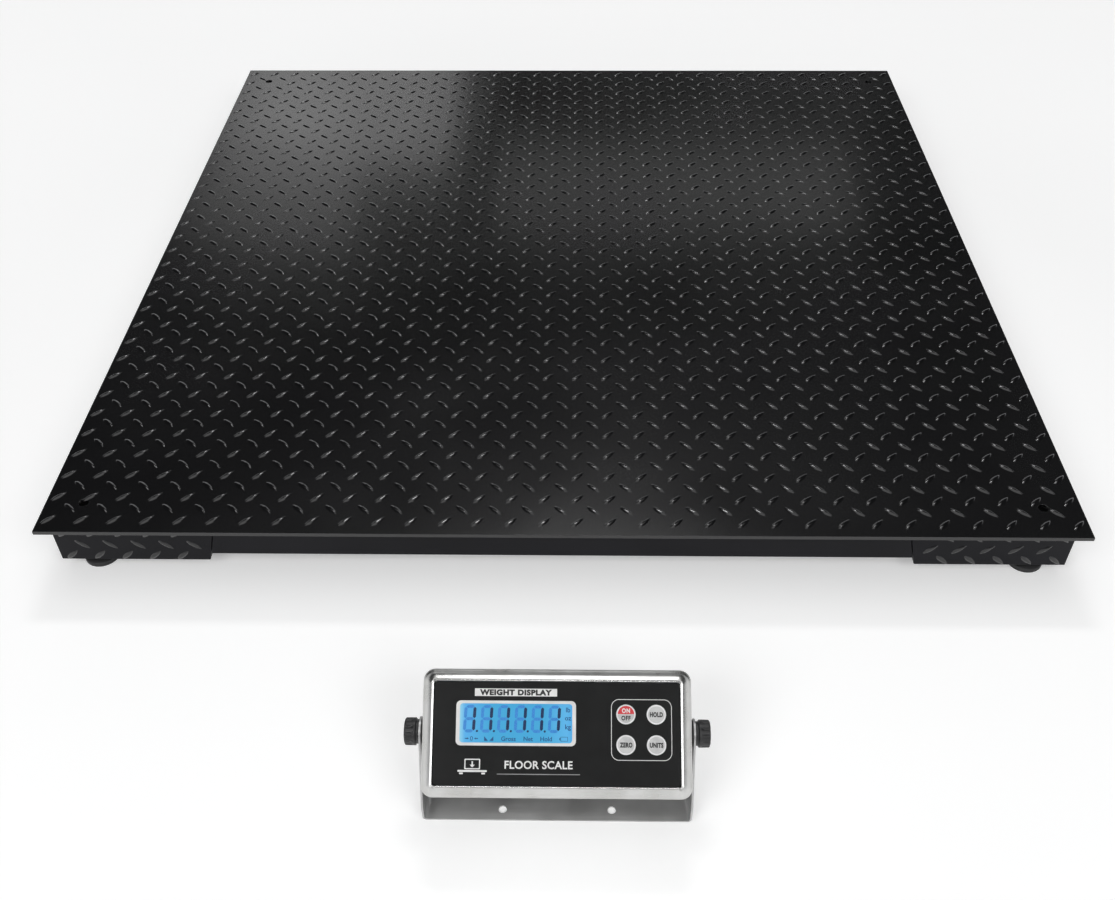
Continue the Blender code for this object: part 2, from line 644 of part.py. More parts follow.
def bracket(stand):
    """A bent U of sheet: a base with mounting holes and two arms up to round ears on the pivot axis."""
    half = HEAD_WIDTH / 2 + 3 * GAP + BOSS_THICK + WASHER_THICK
    outer = half + BRACKET_SHEET
    top = PIVOT_HEIGHT + EAR_RADIUS + 0.005
    bend = BRACKET_BEND
    left = arc((-outer + bend, bend), bend, 180, 270, 5)
    right = arc((outer - bend, bend), bend, 270, 360, 5)
    inner_bend = bend - BRACKET_SHEET
    inner_right = arc((outer - bend, bend), inner_bend, 360, 270, 5)
    inner_left = arc((-outer + bend, bend), inner_bend, 270, 180, 5)
    outline = [(-outer, top)] + left + right + [(outer, top), (half, top)]
    outline += inner_right + inner_left + [(-half, top)]
    depth = BRACKET_DEPTH / 2
    made = piece("bracket", prism(outline, "Y", -depth, depth), "stainless", stand)

    # side view of the arms: full depth at the base, then tangent lines up to the ear
    shoulder = 0.020
    lean = math.atan2(depth, PIVOT_HEIGHT - shoulder)
    reach = math.hypot(depth, PIVOT_HEIGHT - shoulder)
    tangent = math.degrees(lean - math.asin(EAR_RADIUS / reach))
    ear = arc((0, PIVOT_HEIGHT), EAR_RADIUS, tangent, 180 - tangent, 14)
    side_view = [(-depth - 0.001, -0.01), (depth + 0.001, -0.01), (depth + 0.001, shoulder)] + ear
    side_view += [(-depth - 0.001, shoulder)]
    cut(made, prism(side_view, "X", -0.2, 0.2), "INTERSECT")
    cut(made, prism(circle((0, PIVOT_HEIGHT), PIVOT_STUD_RADIUS + 0.0006, 20), "X", -0.2, 0.2))

    through = (-0.01, 0.02)
    cut(made, prism(circle((0, 0), CABLE_HOLE_RADIUS, 24), "Z", *through))
    for side in (-1, 1):
        screw = (side * SCREW_HOLE_X, SCREW_HOLE_IN - depth)
        cut(made, prism(circle(screw, SCREW_HOLE_RADIUS, 16), "Z", *through))
        cut(made, prism(keyhole((side * KEYHOLE_X, 0.0)), "Z", *through))


def keyhole(centre, radius=0.0077, slot=0.0046, length=0.014):
    """A round hole with a slot running towards +Y."""
    x, y = centre
    join = math.degrees(math.asin(slot / radius))
    outline = arc((x, y), radius, 90 + join, 450 - join, 18)
    return outline + arc((x, y + length), slot, 0, 180, 8)


def build_indicator(scale_set):
    stand = empty("indicator_stand", scale_set, (0, -DECK_SIDE / 2 - STAND_OFF, 0))
    head = empty("indicator_head", stand, (0, 0, PIVOT_HEIGHT), -REST_TILT)
    bracket(stand)
    front_shell(head)
    panel_and_keys(head)
    inside_head(head)
    rear_cover(head)
    for name, side in (("left", -1), ("right", 1)):
        pivot_side(head, name, side)


# ---- the set ------------------------------------------------------------------------------
def centre_on_footprint(scale_set):
    """Moves the set along Y so that the middle of its footprint is the origin."""
    bpy.context.view_layer.update()
    shown = [o for o in bpy.data.objects if o.type == "MESH" and not o.hide_render]
    places = [(o.matrix_world @ v.co).y for o in shown for v in o.data.vertices]
    scale_set.location.y = -(min(places) + max(places)) / 2
    bpy.context.view_layer.update()


def main():
    for obj in list(bpy.data.objects):
        bpy.data.objects.remove(obj, do_unlink=True)
    scale_set = empty("pallet_scale")
    build_platform(scale_set)
    build_indicator(scale_set)
    centre_on_footprint(scale_set)


main()
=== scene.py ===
"""Looks of the pallet scale: a glossy black tread-plate platform and its stainless weighing indicator.

Everything is in metres in the CAD's own frame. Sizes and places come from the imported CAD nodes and
joints, or are worked out from the few named values below.
"""

import json
import math

import bmesh
import bpy
from mathutils import Matrix, Vector


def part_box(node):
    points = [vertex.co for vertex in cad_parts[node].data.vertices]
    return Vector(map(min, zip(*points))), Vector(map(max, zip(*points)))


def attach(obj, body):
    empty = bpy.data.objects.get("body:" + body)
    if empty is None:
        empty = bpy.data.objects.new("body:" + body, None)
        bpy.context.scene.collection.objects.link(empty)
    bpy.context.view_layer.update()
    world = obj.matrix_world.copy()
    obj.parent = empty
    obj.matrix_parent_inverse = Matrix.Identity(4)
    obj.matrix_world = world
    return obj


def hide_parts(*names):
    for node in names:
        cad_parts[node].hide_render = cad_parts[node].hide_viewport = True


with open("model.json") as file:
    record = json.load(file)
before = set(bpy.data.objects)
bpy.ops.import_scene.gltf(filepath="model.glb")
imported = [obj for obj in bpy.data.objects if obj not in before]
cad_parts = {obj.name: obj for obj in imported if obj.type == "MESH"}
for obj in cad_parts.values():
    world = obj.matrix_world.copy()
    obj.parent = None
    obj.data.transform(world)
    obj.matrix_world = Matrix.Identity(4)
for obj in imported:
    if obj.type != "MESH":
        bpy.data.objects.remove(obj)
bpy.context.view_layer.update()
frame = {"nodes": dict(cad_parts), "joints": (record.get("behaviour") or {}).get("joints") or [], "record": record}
NODES = frame["nodes"]
JOINTS = {joint["name"]: joint for joint in frame["joints"]}
CORNERS = [f"{end}_{side}" for end in ("front", "rear") for side in ("left", "right")]
SIDES = {"left": -1, "right": 1}
BODY_OF = {name: body for body, names in frame["record"]["behaviour"]["bodies"].items() for name in names}

# ---- places taken from the frame ----------------------------------------------------------
DECK_LOW, DECK_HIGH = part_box("deck_plate")
DECK_CENTRE = (DECK_LOW + DECK_HIGH) / 2
DECK_MIDDLE = Vector((DECK_CENTRE.x, DECK_CENTRE.y, DECK_HIGH.z))    # of its top

# the head's own frame: x across, y into the face, z up the face, origin on the pivot axis
INWARD = Vector(JOINTS["key_zero_press"]["axis"]).normalized()
ACROSS = Vector((1, 0, 0))
HEAD = Matrix((ACROSS, INWARD, ACROSS.cross(INWARD))).transposed().to_4x4()
HEAD.translation = Vector(JOINTS["indicator_tilt"]["pos_m"])

# ---- driving sizes ------------------------------------------------------------------------
CAMERA_FROM_DECK = Vector((0.0146, -1.5298, 0.9767))    # from the middle of the deck's top
CAMERA_DOWN, CAMERA_LEFT, CAMERA_ROLL = (math.radians(a) for a in (42.536, 1.060, -0.427))
LENS, SENSOR = 37.71, 36.0

TREAD_PITCH = (0.03855, 0.0381)
TREAD_FIRST_ROW = 0.0201                # from the deck's front edge
LUG_LENGTH, LUG_WIDTH, LUG_HEIGHT = 0.0215, 0.0070, 0.0014
LEANS = (45, -43)                       # degrees that the lugs of alternate rows turn from across
RIM_CLEARANCE = 0.009                   # least distance from a lug's middle to the deck's edge
HOLE_CLEARANCE = 0.011                  # and to the middle of an access hole
FACE_TREAD_PITCH = (0.0335, 0.038)
FACE_ROWS = (0.0265, 0.0085)            # heights of the first lugs of each lean, from the plate's foot
FACE_LEAN = 42
LEAD_ENTRY = {"front": 0.405, "rear": 0.440}    # the leads' two lines, from the platform's middle
CELL_BOLTS = (0.016, 0.046)             # from a load cell's fixed end

# a place on the head is given across and up its face, from its middle
HEAD_SIZE = (0.260, 0.121)
HEAD_CORNER, CORNER_TIGHTENING = 0.0115, 0.72
FACE = -0.035                           # depth of the head's face
HEAD_BACK = 0.033
REAR_FACE = HEAD_BACK + 0.0045          # the rear cover's outer face
REAR_ENTRY = (0.055, -0.034)            # the gland and socket, to the left and right of the middle
SHEET = 0.0015
PANEL_FRONT = FACE + 0.0001
PRINT = 0.00006                         # thickness of the print
WINDOW = (0.108, 0.037)
WINDOW_CENTRE = (-0.0390, 0.0095)
DISPLAY_FACE = PANEL_FRONT + 0.00025
DISPLAY_FRONT = DISPLAY_FACE - PRINT    # front of the print on the display
TITLE_CENTRE = (-0.0394, 0.0383)
NAME_CENTRE = (-0.0170, -0.0290)
KEY_FIELD_CENTRE, KEY_FIELD_SIZE = (0.0809, 0.0042), (0.0580, 0.0570)
KEY_RADIUS, KEY_RIM = 0.00925, 0.0011
KEY_PROUD, KEY_DISH = 0.0006, 0.00012   # the rim above the film, and the face below the rim
KEY_SPREAD, KEY_MIDDLE = 0.0284, 0.0043
KEY_HEIGHT = {name: KEY_MIDDLE + KEY_SPREAD / 2 * (1 if name in ("on_off", "hold") else -1)
              for name in ("on_off", "hold", "zero", "units")}
KNOB_RADIUS = 0.0135
FLUTES = 12

FLOOR_REACH = 30.0
FLOOR_GLOW = (0.30, 0.75)               # under the object, and from FLOOR_FADE on
FLOOR_FADE = 6.0
FLOOR_NEAR = 0.85                       # share of FLOOR_FADE still to go where the glow starts to rise
HORIZON_GLOW, ROOM_GLOW = 0.80, 0.04
HORIZON_TOP = (0.16, 0.30)              # sines of the elevations where the glow starts and ends its fall


# ---- materials ----------------------------------------------------------------------------
FINISHES = {}
ALONG_X = (0.012, 1, 1)                 # grain drawn out along X
NOISE_LOW, NOISE_HIGH = 0.35, 0.65      # the part of the noise's range that the finishes are spread over


def node(tree, kind, **inputs):
    """A new shader node with the values of its inputs."""
    made = tree.nodes.new(kind)
    for name, value in inputs.items():
        made.inputs[name.replace("_", " ")].default_value = value
    return made


def grain(tree, scale, stretch=(1, 1, 1), detail=4.0):
    """Noise in the piece's own coordinates, stretched along an axis for a brushed grain."""
    place = tree.nodes.new("ShaderNodeTexCoord")
    mapping = node(tree, "ShaderNodeMapping", Scale=stretch)
    noise = node(tree, "ShaderNodeTexNoise", Scale=scale, Detail=detail)
    tree.links.new(place.outputs["Object"], mapping.inputs["Vector"])
    tree.links.new(mapping.outputs["Vector"], noise.inputs["Vector"])
    return noise.outputs["Fac"]


def remap(tree, value, low, high, start=NOISE_LOW, end=NOISE_HIGH):
    """A value that goes from low to high as another goes from start to end."""
    made = node(tree, "ShaderNodeMapRange", From_Min=start, From_Max=end, To_Min=low, To_Max=high)
    tree.links.new(value, made.inputs["Value"])
    return made.outputs["Result"]


def surface(name, colour, second, roughness, metallic=0.0, scale=600, stretch=(1, 1, 1), bump=0.1,
            mottle=12, blotch=None, **fixed):
    """A Principled finish: two colours and a roughness range driven by a mottle, and a fine bumped grain.

    blotch, if given, is a range of roughness that the mottle adds. fixed holds values that are the
    same all over. The finish goes into FINISHES by its name.
    """
    material = bpy.data.materials.new(name)
    material.use_nodes = True
    tree = material.node_tree
    shader = tree.nodes["Principled BSDF"]
    shader.inputs["Metallic"].default_value = metallic
    for socket, value in fixed.items():
        shader.inputs[socket.replace("_", " ")].default_value = value

    fine = grain(tree, scale, stretch)
    broad = grain(tree, mottle, detail=2.0)
    ramp = tree.nodes.new("ShaderNodeValToRGB")
    for element, position, tone in zip(ramp.color_ramp.elements, (NOISE_LOW, NOISE_HIGH), (colour, second)):
        element.position = position
        element.color = (*tone, 1)
    tree.links.new(broad, ramp.inputs["Fac"])
    tree.links.new(ramp.outputs["Color"], shader.inputs["Base Color"])

    rough = remap(tree, fine, *roughness)
    if blotch:
        total = tree.nodes.new("ShaderNodeMath")
        tree.links.new(rough, total.inputs[0])
        tree.links.new(remap(tree, broad, *blotch), total.inputs[1])
        rough = total.outputs["Value"]
    tree.links.new(rough, shader.inputs["Roughness"])

    relief = node(tree, "ShaderNodeBump", Strength=bump, Distance=0.0002)
    tree.links.new(fine, relief.inputs["Height"])
    tree.links.new(relief.outputs["Normal"], shader.inputs["Normal"])
    FINISHES[name] = material
    return material


def make_finishes():
    """The object's finishes: two colours, a range of roughness, how metallic, and the grain."""
    surface("deck_paint", (0.0026, 0.0026, 0.0030), (0.0044, 0.0044, 0.0049), (0.17, 0.23),
            scale=900, bump=0.05, mottle=4, blotch=(0.0, 0.05), Coat_Weight=0.35, Coat_Roughness=0.12)
    surface("lug_paint", (0.0030, 0.0030, 0.0034), (0.0050, 0.0050, 0.0055), (0.07, 0.12),
            scale=900, bump=0.03, mottle=40, Coat_Weight=0.60, Coat_Roughness=0.05)
    surface("frame_paint", (0.0050, 0.0050, 0.0068), (0.0075, 0.0075, 0.0100), (0.26, 0.34),
            scale=900, bump=0.08, mottle=9, blotch=(0.0, 0.06), Specular_IOR_Level=0.14)
    surface("cell_steel", (0.60, 0.60, 0.58), (0.68, 0.68, 0.66), (0.28, 0.36), 1.0,
            scale=500, bump=0.05, mottle=60)
    surface("zinc_plate", (0.58, 0.59, 0.58), (0.70, 0.70, 0.66), (0.24, 0.34), 1.0,
            scale=900, bump=0.05, mottle=120)
    surface("foot_rubber", (0.012, 0.012, 0.013), (0.020, 0.020, 0.021), (0.50, 0.62),
            scale=1400, bump=0.15, mottle=90)
    surface("box_stainless", (0.52, 0.52, 0.51), (0.60, 0.60, 0.59), (0.26, 0.38), 1.0,
            scale=700, stretch=ALONG_X, bump=0.12, mottle=25)
    surface("board_green", (0.02, 0.14, 0.05), (0.03, 0.18, 0.07), (0.25, 0.35),
            scale=400, bump=0.05, mottle=60)
    surface("gland_plastic", (0.014, 0.014, 0.015), (0.020, 0.020, 0.021), (0.38, 0.48),
            scale=1800, bump=0.10, mottle=90)
    surface("lead_jacket", (0.012, 0.012, 0.013), (0.020, 0.020, 0.022), (0.42, 0.52),
            scale=1500, bump=0.12, mottle=40)
    surface("housing_stainless", (0.54, 0.54, 0.525), (0.64, 0.64, 0.63), (0.27, 0.33), 1.0,
            scale=1100, stretch=ALONG_X, bump=0.03, mottle=38, blotch=(-0.03, 0.03))
    surface("rim_polish", (0.80, 0.80, 0.79), (0.88, 0.88, 0.87), (0.08, 0.14), 1.0,
            scale=1500, bump=0.02, mottle=60)
    surface("bracket_stainless", (0.47, 0.47, 0.47), (0.60, 0.60, 0.60), (0.32, 0.48), 0.82,
            scale=1000, stretch=ALONG_X, bump=0.22, mottle=22, blotch=(-0.03, 0.05))
    surface("seal_rubber", (0.030, 0.030, 0.030), (0.045, 0.045, 0.045), (0.70, 0.85),
            scale=2500, bump=0.30, mottle=120)
    surface("panel_print", (0.0040, 0.0043, 0.0043), (0.0066, 0.0070, 0.0070), (0.36, 0.48),
            scale=2600, bump=0.25, mottle=45, Specular_IOR_Level=0.20)
    surface("print_white", (0.72, 0.72, 0.71), (0.80, 0.80, 0.79), (0.45, 0.55),
            scale=2600, bump=0.10, mottle=70)
    surface("print_grey", (0.30, 0.30, 0.30), (0.36, 0.36, 0.36), (0.45, 0.55),
            scale=2600, bump=0.10, mottle=70)
    surface("print_black", (0.010, 0.010, 0.010), (0.016, 0.016, 0.016), (0.45, 0.55),
            scale=2600, bump=0.10, mottle=70)
    surface("print_red", (0.62, 0.030, 0.040), (0.70, 0.045, 0.055), (0.40, 0.50),
            scale=2600, bump=0.10, mottle=70)
    surface("frame_silver", (0.66, 0.655, 0.645), (0.76, 0.755, 0.745), (0.36, 0.46), 0.15,
            scale=2600, bump=0.10, mottle=60)
    surface("key_film", (0.50, 0.50, 0.50), (0.58, 0.58, 0.575), (0.42, 0.52),
            scale=2200, bump=0.25, mottle=160)
    surface("key_rim", (0.76, 0.76, 0.76), (0.86, 0.86, 0.86), (0.28, 0.36),
            scale=2200, bump=0.10, mottle=160)
    surface("segment_lit", (0.006, 0.022, 0.085), (0.008, 0.030, 0.105), (0.25, 0.32),
            scale=1500, bump=0.02, mottle=90)
    surface("segment_faint", (0.020, 0.090, 0.240), (0.024, 0.100, 0.260), (0.25, 0.32),
            scale=1500, bump=0.02, mottle=90,
            Emission_Color=(0.030, 0.225, 0.60, 1), Emission_Strength=0.65)
    surface("mark_blue", (0.010, 0.075, 0.22), (0.014, 0.090, 0.26), (0.25, 0.32),
            scale=1500, bump=0.02, mottle=90)
    surface("knob_plastic", (0.014, 0.014, 0.015), (0.022, 0.022, 0.023), (0.34, 0.46),
            scale=1600, bump=0.18, mottle=80)
    surface("battery_case", (0.060, 0.060, 0.065), (0.080, 0.080, 0.085), (0.45, 0.55),
            scale=800, bump=0.15, mottle=40)


def backlight():
    """The display's blue, brighter where the lamps sit behind its two ends."""
    material = bpy.data.materials.new("display_blue")
    material.use_nodes = True
    tree = material.node_tree
    shader = tree.nodes["Principled BSDF"]
    shader.inputs["Roughness"].default_value = 0.18
    shader.inputs["Base Color"].default_value = (0.030, 0.130, 0.220, 1)
    shader.inputs["Emission Strength"].default_value = 0.62
    place = tree.nodes.new("ShaderNodeTexCoord")
    split = tree.nodes.new("ShaderNodeSeparateXYZ")
    left = WINDOW_CENTRE[0] - WINDOW[0] / 2
    along = node(tree, "ShaderNodeMapRange", From_Min=left, From_Max=left + WINDOW[0])
    ramp = tree.nodes.new("ShaderNodeValToRGB")
    stops = ((0.0, (0.42, 0.85, 1.0)), (0.05, (0.12, 0.50, 0.96)), (0.28, (0.060, 0.44, 0.78)),
             (0.75, (0.070, 0.45, 0.80)), (0.95, (0.15, 0.56, 0.98)), (1.0, (0.10, 0.46, 0.92)))
    while len(ramp.color_ramp.elements) < len(stops):
        ramp.color_ramp.elements.new(0.5)
    for element, (position, colour) in zip(ramp.color_ramp.elements, stops):
        element.position = position
        element.color = (*colour, 1)
    tree.links.new(place.outputs["Object"], split.inputs["Vector"])
    tree.links.new(split.outputs["X"], along.inputs["Value"])
    tree.links.new(along.outputs["Result"], ramp.inputs["Fac"])
    tree.links.new(ramp.outputs["Color"], shader.inputs["Emission Color"])
    FINISHES["display_blue"] = material


# ---- building pieces ----------------------------------------------------------------------
def add_piece(name, shape, finish, body, slot, at=None, replaces=(), sharp=35):
    """A piece from a bmesh, in the CAD's frame or in the frame given by at, riding on a body."""
    if at is not None:
        bmesh.ops.transform(shape, matrix=at, verts=shape.verts)
    bmesh.ops.recalc_face_normals(shape, faces=shape.faces)
    mesh = bpy.data.meshes.new(name)
    shape.to_mesh(mesh)
    shape.free()
    mesh.shade_smooth()
    mesh.set_sharp_from_angle(angle=math.radians(sharp))
    mesh.materials.append(FINISHES[finish])
    made = bpy.data.objects.new(name, mesh)
    bpy.context.scene.collection.objects.link(made)
    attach(made, body)
    if replaces:
        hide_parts(*replaces)
    return made


def merged(shapes):
    """Several bmeshes as one."""
    total = bmesh.new()
    for shape in shapes:
        mesh = bpy.data.meshes.new("part")
        shape.to_mesh(mesh)
        shape.free()
        total.from_mesh(mesh)
        bpy.data.meshes.remove(mesh)
    return total


def arc(centre, radius, start, end, steps):
    """Points round an arc, from a start angle to an end angle in degrees."""
    angles = [math.radians(start + (end - start) * step / steps) for step in range(steps + 1)]
    return [(centre[0] + radius * math.cos(a), centre[1] + radius * math.sin(a)) for a in angles]


def rounded(centre, width, height, radius, steps=10):
    """A rectangle with round corners, anticlockwise from its right side."""
    x, y = width / 2 - radius, height / 2 - radius
    outline = []
    for quarter, (sx, sy) in enumerate(((1, 1), (-1, 1), (-1, -1), (1, -1))):
        middle = (centre[0] + sx * x, centre[1] + sy * y)
        outline += arc(middle, radius, 90 * quarter, 90 * quarter + 90, steps)
    return outline


def circle(centre, radius, sides):
    return arc(centre, radius, 0, 360, sides)[:-1]


def hexagon(reach, sides):
    """Points at equal angles on a hexagon whose flats are reach from its middle."""
    points = []
    for x, y in circle((0, 0), reach, sides):
        stretch = math.cos(math.atan2(y, x) % (math.pi / 3) - math.pi / 6)
        points.append((x / stretch, y / stretch))
    return points


def bridge(shape, rings, around=False):
    """Quads between each ring of vertices and the next."""
    following = rings[1:] + rings[:1] if around else rings[1:]
    for ring, other in zip(rings, following):
        for index, vert in enumerate(ring):
            after = (index + 1) % len(ring)
            shape.faces.new((vert, ring[after], other[after], other[index]))


def loft(loops, closed=False):
    """Loops of equally many points joined in turn, with both ends capped, or joined into a ring."""
    shape = bmesh.new()
    rings = [[shape.verts.new(point) for point in loop] for loop in loops]
    bridge(shape, rings, around=closed)
    if not closed:
        shape.faces.new(rings[0])
        shape.faces.new(rings[-1])
    return shape


def sheet(outline, front, thickness):
    """A flat outline in the head's frame, from its front depth back by its thickness."""
    return loft([[(x, depth, z) for x, z in outline] for depth in (front, front + thickness)])


def sheet_ring(outer, inner, front, thickness):
    """A flat band between two outlines of equally many points."""
    back = front + thickness
    loops = [(outer, front), (outer, back), (inner, back), (inner, front)]
    return loft([[(x, depth, z) for x, z in outline] for outline, depth in loops], closed=True)


def lathe(profile, sides, closed=False, axis="Z"):
    """Radius and height pairs turned about an axis through the origin."""
    loops = []
    for radius, height in profile:
        radius = max(radius, 1e-6)
        points = circle((0, 0), radius, sides)
        turned = {"Z": [(a, b, height) for a, b in points],
                  "Y": [(b, height, a) for a, b in points],
                  "X": [(height, a, b) for a, b in points]}
        loops.append(turned[axis])
    return loft(loops, closed)


def lettering(text, centre, height, front, squeeze=1.0, bold=0.0, spacing=1.0):
    """Text as a thin mesh on the head's face. height is that of a capital, bold widens the strokes."""
    capital = 0.729                     # of the built-in font's size
    curve = bpy.data.curves.new("text", "FONT")
    curve.body = text
    curve.align_x = "CENTER"
    curve.align_y = "CENTER"
    curve.size = height / capital
    curve.offset = bold
    curve.space_character = spacing
    curve.extrude = PRINT / 2
    curve.resolution_u = 4
    holder = bpy.data.objects.new("text", curve)
    bpy.context.scene.collection.objects.link(holder)
    evaluated = holder.evaluated_get(bpy.context.evaluated_depsgraph_get())
    mesh = bpy.data.meshes.new_from_object(evaluated)
    bpy.data.objects.remove(holder)
    shape = bmesh.new()
    shape.from_mesh(mesh)
    bpy.data.meshes.remove(mesh)
    bmesh.ops.remove_doubles(shape, verts=shape.verts, dist=1e-6)
    xs = [v.co.x for v in shape.verts]
    ys = [v.co.y for v in shape.verts]
    middle = ((min(xs) + max(xs)) / 2, (min(ys) + max(ys)) / 2)
    for vert in shape.verts:
        x, y, z = vert.co
        vert.co = (centre[0] + (x - middle[0]) * squeeze, front + PRINT / 2 - z, centre[1] + y - middle[1])
    return shape


def rounded_copy(name, finish, width=0.0006, segments=2, sharp=35):
    """A CAD node's own shape with its edges rounded off and its faces shaded, in place of the node."""
    shape = bmesh.new()
    shape.from_mesh(NODES[name].data)
    bmesh.ops.remove_doubles(shape, verts=shape.verts, dist=1e-6)
    flat = math.radians(0.5)
    bmesh.ops.dissolve_limit(shape, angle_limit=flat, verts=shape.verts, edges=shape.edges)
    if width:
        corners = [edge for edge in shape.edges
                   if len(edge.link_faces) == 2 and edge.calc_face_angle() > math.radians(sharp)]
        bmesh.ops.bevel(shape, geom=corners, offset=width, segments=segments, profile=0.5,
                        affect="EDGES", clamp_overlap=True)
    made = add_piece(f"{name}_finished", shape, finish, BODY_OF[name], finish, replaces=[name], sharp=sharp)
    made.modifiers.new("weighted", "WEIGHTED_NORMAL").keep_sharp = True


# ---- platform -----------------------------------------------------------------------------
def lug_shape(points=12):
    """One raised lug along X: rings from its foot up to the crown, a little fuller at one end."""
    fuller_end, bluntness, long_crown = 0.22, 0.35, 0.7
    rings = []
    for share, rise in ((1.0, -0.08), (0.80, 0.30), (0.52, 0.82), (0.22, 1.0)):
        half_length = share ** long_crown * LUG_LENGTH / 2
        half_width = share * LUG_WIDTH / 2
        ring = []
        for index in range(points):
            angle = math.tau * index / points
            across = math.sin(angle) * abs(math.sin(angle)) ** bluntness * (1 - fuller_end * math.cos(angle))
            ring.append((math.cos(angle) * half_length, across * half_width, rise * LUG_HEIGHT))
        rings.append(ring)
    return rings


def tread(places, matrix):
    """Lugs at (x, y, turn in degrees) places on a plane whose axes are the matrix's."""
    rings = lug_shape()
    shape = bmesh.new()
    for x, y, turn in places:
        here = matrix @ Matrix.Translation((x, y, 0)) @ Matrix.Rotation(math.radians(turn), 4, "Z")
        loops = [[shape.verts.new(here @ Vector(point)) for point in ring] for ring in rings]
        bridge(shape, loops)
        shape.faces.new(loops[0][::-1])
        shape.faces.new(loops[-1])
    return shape


def deck_tread():
    """The deck's lugs: rows that lean one way, and between them rows that lean the other."""
    half = (DECK_HIGH.x - DECK_LOW.x) / 2
    pitch_x, pitch_y = TREAD_PITCH
    holes = [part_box(f"foot_stud_{corner}") for corner in CORNERS]
    holes = [(low + high) / 2 - DECK_CENTRE for low, high in holes]
    places = []
    rows = int(2 * half / pitch_y)
    columns = int(half / pitch_x)
    for row in range(rows):
        y = -half + TREAD_FIRST_ROW + row * pitch_y
        places += [((column + 0.5) * pitch_x, y, LEANS[0]) for column in range(-columns - 1, columns + 1)]
        places += [(column * pitch_x, y + pitch_y / 2, LEANS[1]) for column in range(-columns, columns + 1)]
    places = [p for p in places if max(abs(p[0]), abs(p[1])) < half - RIM_CLEARANCE]
    places = [p for p in places if all(math.hypot(p[0] - h.x, p[1] - h.y) > HOLE_CLEARANCE for h in holes)]
    lugs = tread(places, Matrix.Translation(DECK_MIDDLE))
    add_piece("deck_tread_lugs", lugs, "lug_paint", "platform", "deck_paint", sharp=60)


def face_tread(corner):
    """Lugs on the outer face of an end plate."""
    low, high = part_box(f"end_plate_{corner}")
    middle = (low + high) / 2
    out = -1 if corner.startswith("front") else 1
    outer = low.y if out < 0 else high.y
    # x runs along the face, y up it, and the lugs rise outwards
    matrix = Matrix(((-out, 0, 0, middle.x), (0, 0, out, outer), (0, 1, 0, 0.0), (0, 0, 0, 1)))
    # the two ends of one side mirror each other: lean is also the sign of x at the plate's outer end
    lean = -out * SIDES[corner.split("_")[1]]
    pitch_x, pitch_z = FACE_TREAD_PITCH
    first, second = FACE_ROWS
    places = []
    for column in range(-3, 4):
        for row in range(2):
            z = low.z + row * pitch_z
            places.append((column * pitch_x, z + first, FACE_LEAN * lean))
            places.append(((column + 0.5) * pitch_x, z + second, -FACE_LEAN * lean))

    top_clearance, end_clearance = 0.008, 0.012
    end_slope = 0.017                   # how far the plate's inner end runs back from top to foot
    edge = (high.x - low.x) / 2 - end_clearance
    kept = []
    for x, z, turn in places:
        towards_middle = x * lean < 0
        cut_back = end_slope * (high.z - z) / (high.z - low.z) if towards_middle else 0
        if z <= high.z - top_clearance and abs(x) < edge - cut_back:
            kept.append((x, z, turn))
    add_piece(f"end_plate_lugs_{corner}", tread(kept, matrix), "deck_paint", "platform", "frame_paint",
              sharp=60)


def bolt_head(radius, height, socket):
    """A cap screw's head hanging below z = 0, with a round recess for its key."""
    profile = [(0, 0), (radius - 0.0004, 0), (radius, -0.0004), (radius, -height + 0.0010),
               (radius - 0.0010, -height), (socket + 0.0004, -height), (socket, -height + 0.0004),
               (socket, -height * 0.45), (0, -height * 0.45)]
    return lathe(profile, 24)


def cell_bolts(corner):
    """Two cap screws and their washers up through the fixed end of a load cell."""
    low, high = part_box(f"load_cell_{corner}")
    front = corner.startswith("front")
    fixed_end = high.y if front else low.y
    towards = -1 if front else 1
    gap, washer_radius, washer_height = 0.0001, 0.0110, 0.0022
    shapes = []
    for distance in CELL_BOLTS:
        washer = lathe([(0, 0), (washer_radius, 0), (washer_radius, -washer_height), (0, -washer_height)], 32)
        head = bolt_head(radius=0.009, height=0.012, socket=0.0050)
        bmesh.ops.translate(head, verts=head.verts, vec=(0, 0, -washer_height))
        both = merged([washer, head])
        place = ((low.x + high.x) / 2, fixed_end + towards * distance, low.z - gap)
        bmesh.ops.translate(both, verts=both.verts, vec=place)
        shapes.append(both)
    add_piece(f"cell_bolts_{corner}", merged(shapes), "zinc_plate", "platform", "zinc_plate")


